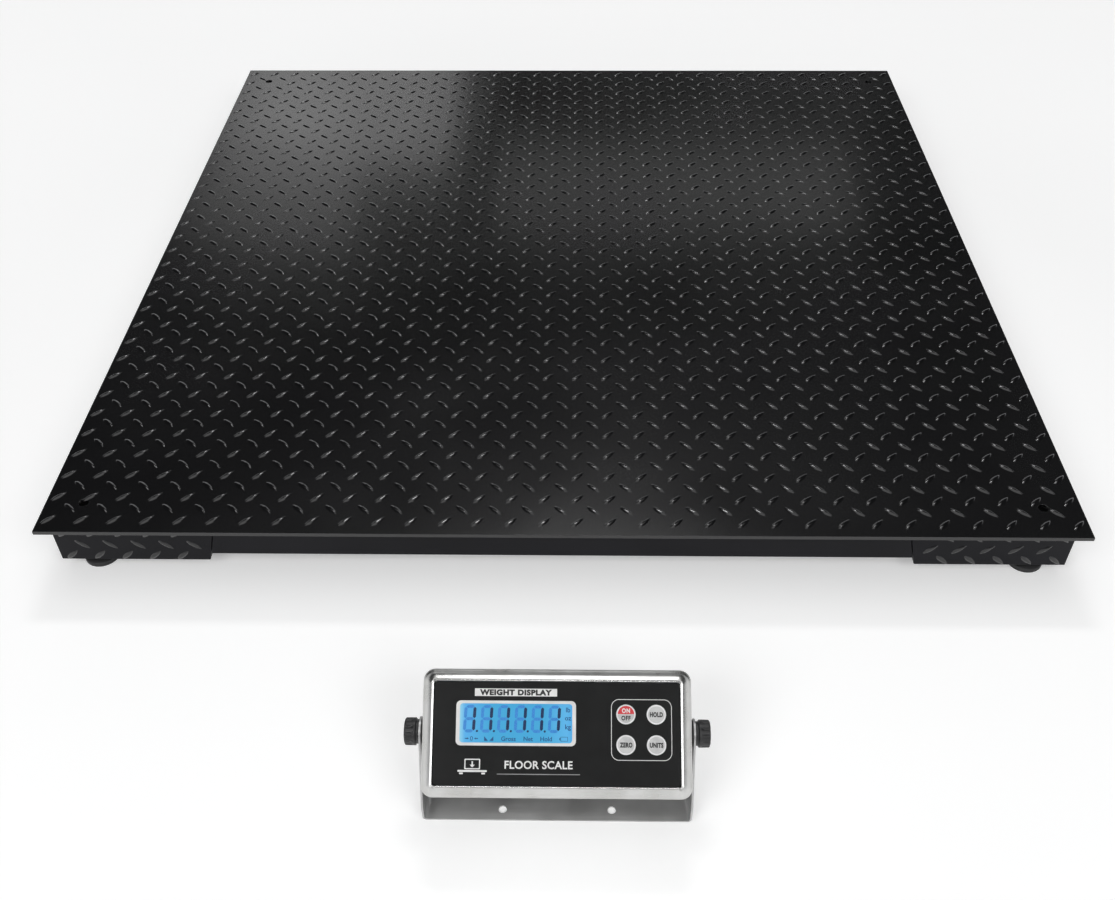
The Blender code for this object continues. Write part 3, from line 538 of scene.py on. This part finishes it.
def threaded_stud(corner):
    """The levelling stud: ball end, neck, hexagon collar and an M12 thread with a hexagon socket on top."""
    name = f"foot_stud_{corner}"
    low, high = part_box(name)
    axis = (low + high) / 2
    radius, pitch, depth = 0.006, 0.00175, 0.0009
    collar_foot, collar_top = 0.0150, 0.0205
    socket, socket_depth = 0.0030, 0.005
    sides, per_turn = 24, 6

    def thread_ring(row):
        ring = []
        for index in range(sides):
            turn = index / sides
            phase = (row / per_turn - turn) % 1.0
            here = radius - depth * abs(2 * phase - 1)
            ring.append((here * math.cos(math.tau * turn), here * math.sin(math.tau * turn)))
        return ring

    ball = [(1e-6, 0), (0.0040, 0.0004), (0.0062, 0.0018), (0.0069, 0.0038), (0.0062, 0.0058),
            (0.0050, 0.0068)]
    levels = [(circle((0, 0), reach, sides), low.z + rise) for reach, rise in ball]
    levels.append((circle((0, 0), 0.0050, sides), collar_foot))
    for reach, z in ((0.0076, collar_foot), (0.0080, collar_foot + 0.0004),
                     (0.0080, collar_top - 0.0004), (0.0076, collar_top)):
        levels.append((hexagon(reach, sides), z))
    for row in range(int((high.z - collar_top) / pitch * per_turn)):
        levels.append((thread_ring(row), collar_top + row * pitch / per_turn))
    levels.append((circle((0, 0), 0.0048, sides), high.z))
    levels += [(hexagon(socket, sides), high.z), (hexagon(socket, sides), high.z - socket_depth)]
    loops = [[(x, y, z) for x, y in outline] for outline, z in levels]
    add_piece(f"{name}_threaded", loft(loops), "zinc_plate", f"stud_{corner}", "zinc_plate",
              at=Matrix.Translation((axis.x, axis.y, 0)), replaces=[name])


def foot_pad(corner):
    """A turned pad with a grooved rim, a coned top and a cup for the stud's ball."""
    name = f"foot_pad_{corner}"
    low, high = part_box(name)
    axis = (low + high) / 2
    radius = (high.x - low.x) / 2
    profile = [
        (0, 0.0006), (radius - 0.006, 0.0006), (radius - 0.0055, 0), (radius - 0.0010, 0),
        (radius - 0.0002, 0.0004), (radius, 0.0012), (radius, 0.0024), (radius - 0.0006, 0.0029),
        (radius, 0.0034), (radius, 0.0050), (radius - 0.0004, 0.0058), (radius - 0.0013, 0.0064),
        (0.0150, 0.0076), (0.0122, 0.0090), (0.0112, 0.0108), (0.0106, 0.0124), (0.0100, 0.0128),
        (0.0082, 0.0128), (0.0078, 0.0124), (0.0077, 0.0060), (0, 0.0060),
    ]
    add_piece(f"{name}_turned", lathe(profile, 64), "foot_rubber", f"foot_{corner}", "foot_rubber",
              at=Matrix.Translation((axis.x, axis.y, low.z)), replaces=[name])


def cable_gland(name, node_name, body, at, radius, length, bore):
    """A nylon gland along +Y from its face: hexagon base, ribbed dome nut and open mouth."""
    sides, rib = 48, 0.0004
    hex_end, nut_end = length * 0.28, length * 0.78
    nut_start = hex_end + 0.0008

    def hexed(depth, corner):
        return [(x, depth, z) for x, z in hexagon(corner * math.cos(math.pi / 6), sides)]

    def turned(depth, reach):
        return [(x, depth, z) for x, z in circle((0, 0), reach, sides)]

    def ribbed(depth, reach):
        crest, groove = turned(depth, reach), turned(depth, reach - rib)
        return [(groove if index % 4 < 2 else crest)[index] for index in range(sides)]

    loops = [
        turned(0, 1e-6), hexed(0, radius * 0.97), hexed(0.0004, radius), hexed(hex_end - 0.0004, radius),
        hexed(hex_end, radius * 0.97), turned(hex_end, radius * 0.80), turned(nut_start, radius * 0.80),
        ribbed(nut_start, radius * 0.88), ribbed(nut_end - 0.001, radius * 0.86),
        turned(nut_end, radius * 0.82), turned(length - 0.0012, radius * 0.66),
        turned(length - 0.0002, radius * 0.58), turned(length, radius * 0.52), turned(length, bore + 0.0003),
        turned(length - 0.0004, bore), turned(length * 0.5, bore), turned(length * 0.5, 1e-6),
    ]
    add_piece(name, loft(loops), "gland_plastic", body, "gland_plastic", at=at, replaces=[node_name])


def lead_glands():
    """Small glands where the four load cell leads enter the junction box."""
    low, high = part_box("junction_box")
    for corner in CORNERS:
        end, side = corner.split("_")
        lead_low, lead_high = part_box(f"cell_lead_{corner}")
        height = (lead_low.z + lead_high.z) / 2
        y = LEAD_ENTRY[end] + DECK_CENTRE.y
        face = high.x if side == "right" else low.x
        ring = lathe([(0.0027, 0.0001), (0.0068, 0.0001), (0.0068, 0.0035), (0.0060, 0.0035),
                      (0.0060, 0.0085), (0.0042, 0.0110), (0.0027, 0.0110)], 32, closed=True, axis="X")
        turn = Matrix.Identity(4) if side == "right" else Matrix.Rotation(math.pi, 4, "Z")
        add_piece(f"lead_gland_{corner}", ring, "gland_plastic", "platform", "gland_plastic",
                  at=Matrix.Translation((face, y, height)) @ turn)


def screw_set(name, places, at, body, radius=0.0030):
    """Low button-head screws with a round recess, each rising along +Z of the frame given by at."""
    shapes = []
    for x, y in places:
        head = lathe([(0, 0), (radius, 0), (radius, 0.0004), (radius * 0.86, 0.0011), (radius * 0.55, 0.0016),
                      (radius * 0.34, 0.0017), (radius * 0.30, 0.0009), (0, 0.0008)], 24)
        bmesh.ops.translate(head, verts=head.verts, vec=(x, y, 0))
        shapes.append(head)
    add_piece(name, merged(shapes), "zinc_plate", body, "zinc_plate", at=at)


def build_platform():
    rounded_copy("deck_plate", "deck_paint", width=0.0007, segments=3)
    deck_tread()
    for name in ("side_channel_left", "side_channel_right", "front_rail", "rear_rail"):
        rounded_copy(name, "frame_paint", width=0.0015, segments=3)
    for name in ("cross_rib_front", "cross_rib_middle", "cross_rib_rear"):
        rounded_copy(name, "frame_paint", width=0.0010)
    for corner in CORNERS:
        rounded_copy(f"end_plate_{corner}", "frame_paint", width=0.0012, segments=3)
        face_tread(corner)
        rounded_copy(f"load_cell_block_{corner}", "frame_paint", width=0.0010)
        rounded_copy(f"load_cell_{corner}", "cell_steel", width=0.0008)
        rounded_copy(f"foot_nut_{corner}", "zinc_plate", width=0.0004)
        rounded_copy(f"cell_lead_{corner}", "lead_jacket", width=0.0, sharp=60)
        cell_bolts(corner)
        threaded_stud(corner)
        foot_pad(corner)
    rounded_copy("junction_box", "box_stainless", width=0.0012, segments=3)
    rounded_copy("junction_box_lid", "box_stainless", width=0.0006)
    rounded_copy("summing_board", "board_green", width=0.0003)
    lead_glands()
    low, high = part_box("junction_box_lid")
    middle = (low + high) / 2
    screw_inset = 0.008
    reach = (high.x - middle.x - screw_inset, high.y - middle.y - screw_inset)
    places = [(sx * reach[0], sy * reach[1]) for sx in (-1, 1) for sy in (-1, 1)]
    below = Matrix.Translation((middle.x, middle.y, low.z)) @ Matrix.Rotation(math.pi, 4, "X")
    screw_set("lid_screws", places, below, "platform")
    low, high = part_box("platform_gland")
    entry = Matrix.Translation(((low.x + high.x) / 2, low.y, (low.z + high.z) / 2))
    cable_gland("platform_gland_turned", "platform_gland", "platform", entry, 0.0105, high.y - low.y, 0.0034)


# ---- indicator ----------------------------------------------------------------------------
def on_head(name, shape, finish, slot, **options):
    """A piece made in the head's own frame, riding on the head."""
    add_piece(name, shape, finish, "indicator_head", slot, at=HEAD, **options)


def head_loop(inset, depth):
    """The head's outline drawn in by an inset, at a depth. Its corners tighten as it shrinks."""
    width, height = HEAD_SIZE
    radius = max(HEAD_CORNER - inset * CORNER_TIGHTENING, 0.003)
    outline = rounded((0, 0), width - 2 * inset, height - 2 * inset, radius, 14)
    return [(x, depth, z) for x, z in outline]


def housing():
    """The drawn stainless front: side walls, a crowned slope, a fine groove and the turned-in edge."""
    wall_end, bend, crown = -0.0235, (0.0030, 0.0040), 0.00049
    profile = [(0.0, HEAD_BACK), (0.0, wall_end)]
    for degrees in (18, 36, 54, 70):
        angle = math.radians(degrees)
        profile.append((bend[0] * (1 - math.cos(angle)), wall_end - bend[1] * math.sin(angle)))
    slope_start, slope_end = (0.0026, -0.0277), (0.0092, -0.0343)
    for step in range(1, 8):
        share = step / 8
        bulge = crown * math.sin(math.pi * share)
        profile.append(tuple(a + (b - a) * share - bulge for a, b in zip(slope_start, slope_end)))
    profile += [(0.0095, -0.0345), (0.0099, -0.0344), (0.0102, -0.0343)]
    inside = [(0.0102, FACE + 0.0020), (0.0030, -0.0250), (SHEET, -0.0220), (SHEET, HEAD_BACK)]
    shell = loft([head_loop(inset, depth) for inset, depth in profile + inside], closed=True)
    on_head("front_shell_drawn", shell, "housing_stainless", "housing_stainless",
            replaces=["front_shell"], sharp=45)


def face_rim():
    """The polished turned-in edge round the panel, a half-round bead."""
    middle, reach, foot = (0.01095, -0.03440), (0.00062, 0.00085), FACE + 0.0016
    bead = []
    for step in range(9):
        angle = math.pi * step / 8
        bead.append((middle[0] - reach[0] * math.cos(angle), middle[1] - reach[1] * math.sin(angle)))
    bead += [(middle[0] + reach[0], foot), (middle[0] - reach[0], foot)]
    rim = loft([head_loop(inset, depth) for inset, depth in bead], closed=True)
    on_head("face_rim", rim, "rim_polish", "housing_stainless")


def display():
    """The blue display just under the film's window, with its silver frame, digits and marks."""
    gap, thickness = 0.0001, 0.0004
    outline = rounded(WINDOW_CENTRE, WINDOW[0] - 2 * gap, WINDOW[1] - 2 * gap, 0.0028)
    on_head("display_face", sheet(outline, DISPLAY_FACE, thickness), "display_blue", "display_blue")
    frame_size, frame_inside = (0.1147, 0.0420), (0.1076, 0.0366)
    frame_proud, frame_thickness = 0.0002, 0.00018
    outer = rounded(WINDOW_CENTRE, *frame_size, 0.0046)
    inner = rounded(WINDOW_CENTRE, *frame_inside, 0.0030)
    band = sheet_ring(outer, inner, PANEL_FRONT - frame_proud, frame_thickness)
    on_head("display_frame", band, "frame_silver", "panel_print")
    on_head("display_digits_lit", merged(digit_segments(lit=True)), "segment_lit", "display_blue")
    on_head("display_digits_faint", merged(digit_segments(lit=False)), "segment_faint", "display_blue")
    on_head("display_marks", merged(display_marks()), "mark_blue", "display_blue")


def digit_segments(lit):
    """Six seven-segment digits. Lit: the two right-hand uprights and the points; the others are faint."""
    pitch, last, centre_z = 0.0162, -0.0023, 0.0134
    half_w, half_h, stroke, gap, lean = 0.0043, 0.0114, 0.0029, 0.00035, 0.055
    point_x, point_radius = half_w + 0.0034, 0.00105

    def slanted(x, z, points):
        outline = [(x + px + lean * pz, z + pz) for px, pz in points]
        return sheet(outline, DISPLAY_FRONT, PRINT)

    def bar(ax, az, bx, bz):
        """A mitred bar between two corners of the digit, pointed at both ends."""
        length = math.hypot(bx - ax, bz - az)
        ux, uz = (bx - ax) / length, (bz - az) / length
        w = stroke / 2
        near, far = gap + w, length - gap - w
        along = ((gap, 0), (near, w), (far, w), (length - gap, 0), (far, -w), (near, -w))
        return [(ax + ux * s - uz * t, az + uz * s + ux * t) for s, t in along]

    corners = {"tl": (-half_w, half_h), "tr": (half_w, half_h), "ml": (-half_w, 0), "mr": (half_w, 0),
               "bl": (-half_w, -half_h), "br": (half_w, -half_h)}
    lit_bars = (("tr", "mr"), ("mr", "br"))
    faint_bars = (("tl", "tr"), ("tl", "ml"), ("ml", "mr"), ("ml", "bl"), ("bl", "br"))
    shapes = []
    for digit in range(6):
        x = last - digit * pitch
        for start, end in (lit_bars if lit else faint_bars):
            shapes.append(slanted(x, centre_z, bar(*corners[start], *corners[end])))
        if lit and digit:
            shapes.append(slanted(x, centre_z, circle((point_x, -half_h), point_radius, 20)))
    return shapes


def display_marks():
    """Units down the right, and the row of state marks along the foot of the display."""
    shapes = []
    for text, z in (("lb", 0.0222), ("oz", 0.0139), ("kg", 0.0057)):
        shapes.append(lettering(text, (0.0108, z), 0.0046, DISPLAY_FRONT, bold=0.00010))
    row, zero_x, stable_x, battery_x = -0.0050, -0.0813, -0.0648, 0.0072
    for text, x in (("Gross", -0.0460), ("Net", -0.0271), ("Hold", -0.0100)):
        shapes.append(lettering(text, (x, row), 0.0042, DISPLAY_FRONT, bold=0.00010))
    shapes.append(lettering("0", (zero_x, row), 0.0044, DISPLAY_FRONT))
    for side in (-1, 1):
        x = zero_x + side * 0.0043
        tip, tail = x - side * 0.0018, x + side * 0.0020
        arrow = [(tip, row), (x, row + 0.0010), (x, row + 0.0004), (tail, row + 0.0004),
                 (tail, row - 0.0004), (x, row - 0.0004), (x, row - 0.0010)]
        shapes.append(sheet(arrow, DISPLAY_FRONT, PRINT))
        x = stable_x + side * 0.0044
        wedge = [(x, row + 0.0021), (x, row - 0.0021), (x - side * 0.0038, row - 0.0021)]
        shapes.append(sheet(wedge, DISPLAY_FRONT, PRINT))
    outer = rounded((battery_x, row), 0.0070, 0.0042, 0.0003, 3)
    inner = rounded((battery_x, row), 0.0062, 0.0034, 0.0002, 3)
    shapes.append(sheet_ring(outer, inner, DISPLAY_FRONT, PRINT))
    shapes.append(sheet(rounded((battery_x - 0.0041, row), 0.0009, 0.0022, 0.0002, 3), DISPLAY_FRONT, PRINT))
    return shapes


def panel_graphics():
    """The film's print: title strip, key field outline, and a plain name and pictogram."""
    front = PANEL_FRONT - 2 * PRINT

    def printed(name, shape, finish):
        on_head(name, shape, finish, "panel_print")

    strip_width, strip_height = 0.0790, 0.0072
    printed("title_strip", sheet(rounded(TITLE_CENTRE, strip_width, strip_height, 0.0002, 2), front, PRINT),
            "print_white")
    title = lettering("WEIGHT DISPLAY", TITLE_CENTRE, 0.0050, front - PRINT, squeeze=1.14, bold=0.00042,
                      spacing=1.12)
    printed("title_text", title, "print_black")
    line, corner = 0.0006, 0.0075
    width, height = KEY_FIELD_SIZE
    outer = rounded(KEY_FIELD_CENTRE, width, height, corner, 12)
    inner = rounded(KEY_FIELD_CENTRE, width - 2 * line, height - 2 * line, corner - line, 12)
    printed("key_field_line", sheet_ring(outer, inner, front, PRINT), "print_white")
    words = lettering("FLOOR SCALE", NAME_CENTRE, 0.0074, front, squeeze=0.98, bold=0.00022, spacing=1.05)
    printed("panel_name", merged([words] + pictogram(front)), "print_white")
    rule_centre = (NAME_CENTRE[0], -0.0376)
    printed("panel_rule", sheet(rounded(rule_centre, 0.0790, 0.0007, 0.0003, 2), front, PRINT), "print_grey")


def pictogram(front):
    """A load on a low platform, in outline."""
    x, z = -0.0800, -0.0310
    load_z = z + 0.0024
    plate = sheet(rounded((x, z - 0.0040), 0.0280, 0.0018, 0.0008, 4), front, PRINT)
    load = sheet_ring(rounded((x, load_z), 0.0150, 0.0098, 0.0010, 4),
                      rounded((x, load_z), 0.0128, 0.0076, 0.0005, 4), front, PRINT)
    shaft, barb, top, neck, tip = 0.0007, 0.0024, z + 0.0050, z + 0.0018, z - 0.0008
    arrow = [(x - shaft, top), (x - shaft, neck), (x - barb, neck), (x, tip),
             (x + barb, neck), (x + shaft, neck), (x + shaft, top)]
    shapes = [plate, load, sheet(arrow, front, PRINT)]
    for side in (-1, 1):
        foot = rounded((x + side * 0.0105, z - 0.0062), 0.0036, 0.0016, 0.0005, 3)
        shapes.append(sheet(foot, front, PRINT))
    return shapes


def key_cap():
    """A key's turned cap: a rounded rim round a shallow dish, and the stem that presses the board."""
    top = PANEL_FRONT - KEY_PROUD
    skirt, stem, stem_end = PANEL_FRONT + 0.0030, 0.0030, PANEL_FRONT + 0.0110
    return lathe([
        (0, top + KEY_DISH), (KEY_RADIUS - KEY_RIM - 0.00025, top + KEY_DISH), (KEY_RADIUS - KEY_RIM, top),
        (KEY_RADIUS - 0.00045, top), (KEY_RADIUS - 0.00012, top + 0.00013), (KEY_RADIUS, top + 0.00045),
        (KEY_RADIUS, skirt), (stem, skirt), (stem, stem_end), (0, stem_end),
    ], 64, axis="Y")


def keys():
    """Four round keys a little proud of the film, each with a pale rim, a grey face and its print."""
    face_radius = KEY_RADIUS - KEY_RIM - 0.00030
    face_front = PANEL_FRONT - KEY_PROUD + KEY_DISH - PRINT
    print_front = face_front - PRINT
    for name, height in KEY_HEIGHT.items():
        low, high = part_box(f"key_{name}")
        at = HEAD @ Matrix.Translation(((low.x + high.x) / 2 - HEAD.translation.x, 0, height))

        def part(piece, shape, finish, **options):
            add_piece(f"key_{name}_{piece}", shape, finish, f"key_{name}", "key_print", at=at, **options)

        part("cap", key_cap(), "key_rim", replaces=[f"key_{name}"], sharp=50)
        part("face", sheet(circle((0, 0), face_radius, 64), face_front, PRINT), "key_film")
        if name == "on_off":
            half_disc = arc((0, 0.0001), face_radius, 2, 178, 24)
            part("red", sheet(half_disc, print_front, PRINT), "print_red")
            upper = lettering("ON", (0, 0.0035), 0.0041, print_front - PRINT, squeeze=0.84, bold=0.00022,
                              spacing=1.16)
            part("upper_text", upper, "print_white")
            lower = lettering("OFF", (0, -0.0034), 0.0041, print_front, squeeze=0.82, bold=0.00026,
                              spacing=1.14)
            part("lower_text", lower, "print_black")
        else:
            word = lettering(name.upper(), (0, 0), 0.0043, print_front, squeeze=0.72, bold=0.00034,
                             spacing=1.10)
            part("text", word, "print_black")


def knob(name, side):
    """A grip with a dozen flutes that run in from the outer end and stop in a round, and a dished end."""
    low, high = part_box(f"knob_{name}")
    inner = low.x if side > 0 else -high.x
    outer = high.x if side > 0 else -low.x
    sides, flute_share, flute_depth = 144, 0.46, 0.0013

    def ring(x, radius, flute=0.0):
        points = []
        for index in range(sides):
            angle = math.tau * index / sides
            phase = abs((angle * FLUTES / math.tau) % 1.0 - 0.5) * 2
            dip = flute * math.sqrt(max(0.0, 1 - (phase / flute_share) ** 2))
            points.append((side * x, (radius - dip) * math.cos(angle), (radius - dip) * math.sin(angle)))
        return points

    bore, bore_end, collar = 0.0046, inner + 0.0080, KNOB_RADIUS * 0.88
    loops = [ring(bore_end, 1e-6), ring(bore_end, bore), ring(inner, bore), ring(inner, collar - 0.0005),
             ring(inner + 0.0005, collar), ring(inner + 0.0026, collar),
             ring(inner + 0.0030, KNOB_RADIUS - 0.0006), ring(inner + 0.0035, KNOB_RADIUS)]
    flute_start, flute_end = inner + 0.0052, outer - 0.0014
    for step in range(9):
        share = step / 8
        x = flute_start + (flute_end - flute_start) * share
        depth = flute_depth * math.sin(min(1.0, share / 0.4) * math.pi / 2)
        loops.append(ring(x, KNOB_RADIUS - 0.0002 * share, depth))
    dish = outer - 0.0013
    loops += [ring(outer - 0.0006, KNOB_RADIUS - 0.0008, 0.0010),
              ring(outer - 0.0001, KNOB_RADIUS - 0.0019, 0.0004),
              ring(outer, KNOB_RADIUS - 0.0030), ring(outer - 0.0002, KNOB_RADIUS - 0.0042),
              ring(outer - 0.0010, KNOB_RADIUS - 0.0052), ring(dish, KNOB_RADIUS * 0.35), ring(dish, 1e-6)]
    at = Matrix.Translation((0, HEAD.translation.y, HEAD.translation.z))
    add_piece(f"knob_{name}_fluted", loft(loops), "knob_plastic", f"knob_{name}", "knob_plastic",
              at=at, replaces=[f"knob_{name}"], sharp=40)


def rear_of_head():
    """The rear cover on its seal, its eight screws, the signal cable's gland and the power socket."""
    rounded_copy("rear_cover", "housing_stainless", width=0.0003)
    rounded_copy("cover_seal", "seal_rubber", width=0.0002, segments=1)
    half_width, half_height = HEAD_SIZE[0] / 2, HEAD_SIZE[1] / 2
    corner_inset, edge_inset, edge_place = 0.0075, 0.0055, 0.045
    places = [(half_width - corner_inset, half_height - corner_inset), (edge_place, half_height - edge_inset)]
    places = [(sx * x, sz * z) for x, z in places for sx in (-1, 1) for sz in (1, -1)]
    back = HEAD @ Matrix.Translation((0, REAR_FACE, 0)) @ Matrix.Rotation(-math.pi / 2, 4, "X")
    screw_set("rear_cover_screws", places, back, "indicator_head")

    x, z = REAR_ENTRY
    seat = REAR_FACE + 0.0003
    entry = HEAD @ Matrix.Translation((-x, seat, z))
    cable_gland("signal_gland_turned", "signal_gland", "indicator_head", entry, 0.0096, 0.0165, 0.0032)
    socket = lathe([(0, 0), (0.0074, 0), (0.0075, 0.0003), (0.0075, 0.0016), (0.0071, 0.0020),
                    (0.0062, 0.0022), (0.0060, 0.0038), (0.0058, 0.0040), (0.0044, 0.0040), (0.0042, 0.0038),
                    (0.0042, 0.0010), (0.0011, 0.0010), (0.0010, 0.0034), (0, 0.0036)], 48, axis="Y")
    entry = HEAD @ Matrix.Translation((x, seat, z))
    add_piece("power_socket_turned", socket, "gland_plastic", "indicator_head", "gland_plastic", at=entry,
              replaces=["power_socket"])


def build_indicator():
    housing()
    face_rim()
    rounded_copy("overlay_panel", "panel_print", width=0.0001, segments=1)
    display()
    panel_graphics()
    keys()
    rear_of_head()
    rounded_copy("bracket", "bracket_stainless", width=0.00035, segments=2, sharp=40)
    inside = {"lcd_module": "display_blue", "main_board": "board_green", "battery": "battery_case"}
    for name, finish in inside.items():
        rounded_copy(name, finish, width=0.0003)
    for name, side in SIDES.items():
        knob(name, side)
        rounded_copy(f"pivot_stud_{name}", "zinc_plate", width=0.0)
        rounded_copy(f"friction_washer_{name}", "seal_rubber", width=0.0001, segments=1)


# ---- floor, light and camera --------------------------------------------------------------
def floor_finish():
    """Matt white that glows a little more with distance, so it stays pale up to the horizon."""
    material = surface("floor_pale", (0.86, 0.86, 0.86), (0.88, 0.88, 0.88), (0.75, 0.85), scale=40, bump=0.0,
                       mottle=1, Emission_Color=(1, 1, 1, 1))
    tree = material.node_tree
    place = tree.nodes.new("ShaderNodeTexCoord")
    mapping = node(tree, "ShaderNodeMapping", Scale=[1 / FLOOR_FADE] * 3)
    nearness = tree.nodes.new("ShaderNodeTexGradient")
    nearness.gradient_type = "SPHERICAL"
    tree.links.new(place.outputs["Object"], mapping.inputs["Vector"])
    tree.links.new(mapping.outputs["Vector"], nearness.inputs["Vector"])
    near, far = FLOOR_GLOW
    glow = remap(tree, nearness.outputs["Fac"], far, near, 0.0, FLOOR_NEAR)
    tree.links.new(glow, tree.nodes["Principled BSDF"].inputs["Emission Strength"])
    return material


def room():
    """A dim room with a pale glow round the horizon."""
    world = bpy.data.worlds.new("studio")
    world.use_nodes = True
    tree = world.node_tree
    background = tree.nodes["Background"]
    background.inputs["Color"].default_value = (0.97, 0.98, 1.0, 1)
    place = tree.nodes.new("ShaderNodeTexCoord")
    split = tree.nodes.new("ShaderNodeSeparateXYZ")
    tree.links.new(place.outputs["Generated"], split.inputs["Vector"])
    glow = remap(tree, split.outputs["Z"], HORIZON_GLOW, ROOM_GLOW, *HORIZON_TOP)
    tree.links.new(glow, background.inputs["Strength"])
    bpy.context.scene.world = world


def floor():
    shape = bmesh.new()
    corners = ((-1, -1), (1, -1), (1, 1), (-1, 1))
    shape.faces.new([shape.verts.new((x * FLOOR_REACH, y * FLOOR_REACH, 0)) for x, y in corners])
    mesh = bpy.data.meshes.new("floor")
    shape.to_mesh(mesh)
    shape.free()
    mesh.materials.append(floor_finish())
    made = bpy.data.objects.new("floor", mesh)
    bpy.context.scene.collection.objects.link(made)


def softbox(name, place, aim, size, power):
    """A rectangular area light at a place, turned to face a point. Both are from the deck's middle."""
    light = bpy.data.lights.new(name, "AREA")
    light.shape = "RECTANGLE"
    light.size, light.size_y = size
    light.energy = power
    made = bpy.data.objects.new(name, light)
    bpy.context.scene.collection.objects.link(made)
    made.location = DECK_MIDDLE + Vector(place)
    made.rotation_euler = (Vector(aim) - Vector(place)).to_track_quat("-Z", "Y").to_euler()


def lights():
    """Soft light from above and from the operator's side, a strip that glints in the lugs, and dim
    panels behind the deck that it mirrors as grey patches."""
    softbox("top", (0, -0.2, 4.5), (0, -0.2, 0), (5.0, 5.0), 75)
    softbox("top_strip", (0, 2.35, 4.5), (0, 0, 0), (1.3, 0.5), 36)
    softbox("key_left", (-2.2, -3.6, 3.4), (0, -0.5, 0), (2.4, 2.0), 75)
    softbox("key_right", (2.2, -3.6, 3.4), (0, -0.5, 0), (2.4, 2.0), 65)
    softbox("panel_left", (-1.5, 5.7, 2.5), (-1.5, 5.7, 0), (1.5, 1.7), 12)
    softbox("panel_left_near", (-1.75, 4.4, 2.5), (-1.75, 4.4, 0), (1.0, 0.9), 1.8)
    softbox("panel_right", (0.6, 4.5, 2.5), (0.6, 4.5, 0), (2.1, 0.9), 3.3)
    bpy.context.scene.view_settings.view_transform = "Standard"


def camera():
    data = bpy.data.cameras.new("camera")
    data.lens = LENS
    data.sensor_width = SENSOR
    data.sensor_fit = "HORIZONTAL"
    data.clip_end = 100
    made = bpy.data.objects.new("camera", data)
    bpy.context.scene.collection.objects.link(made)
    left = Matrix.Rotation(CAMERA_LEFT, 4, "Z")
    down = Matrix.Rotation(math.pi / 2 - CAMERA_DOWN, 4, "X")
    roll = Matrix.Rotation(CAMERA_ROLL, 4, "Z")
    made.matrix_world = Matrix.Translation(DECK_MIDDLE + CAMERA_FROM_DECK) @ left @ down @ roll
    bpy.context.scene.camera = made


camera()
make_finishes()
backlight()
build_platform()
build_indicator()
floor()
room()
lights()
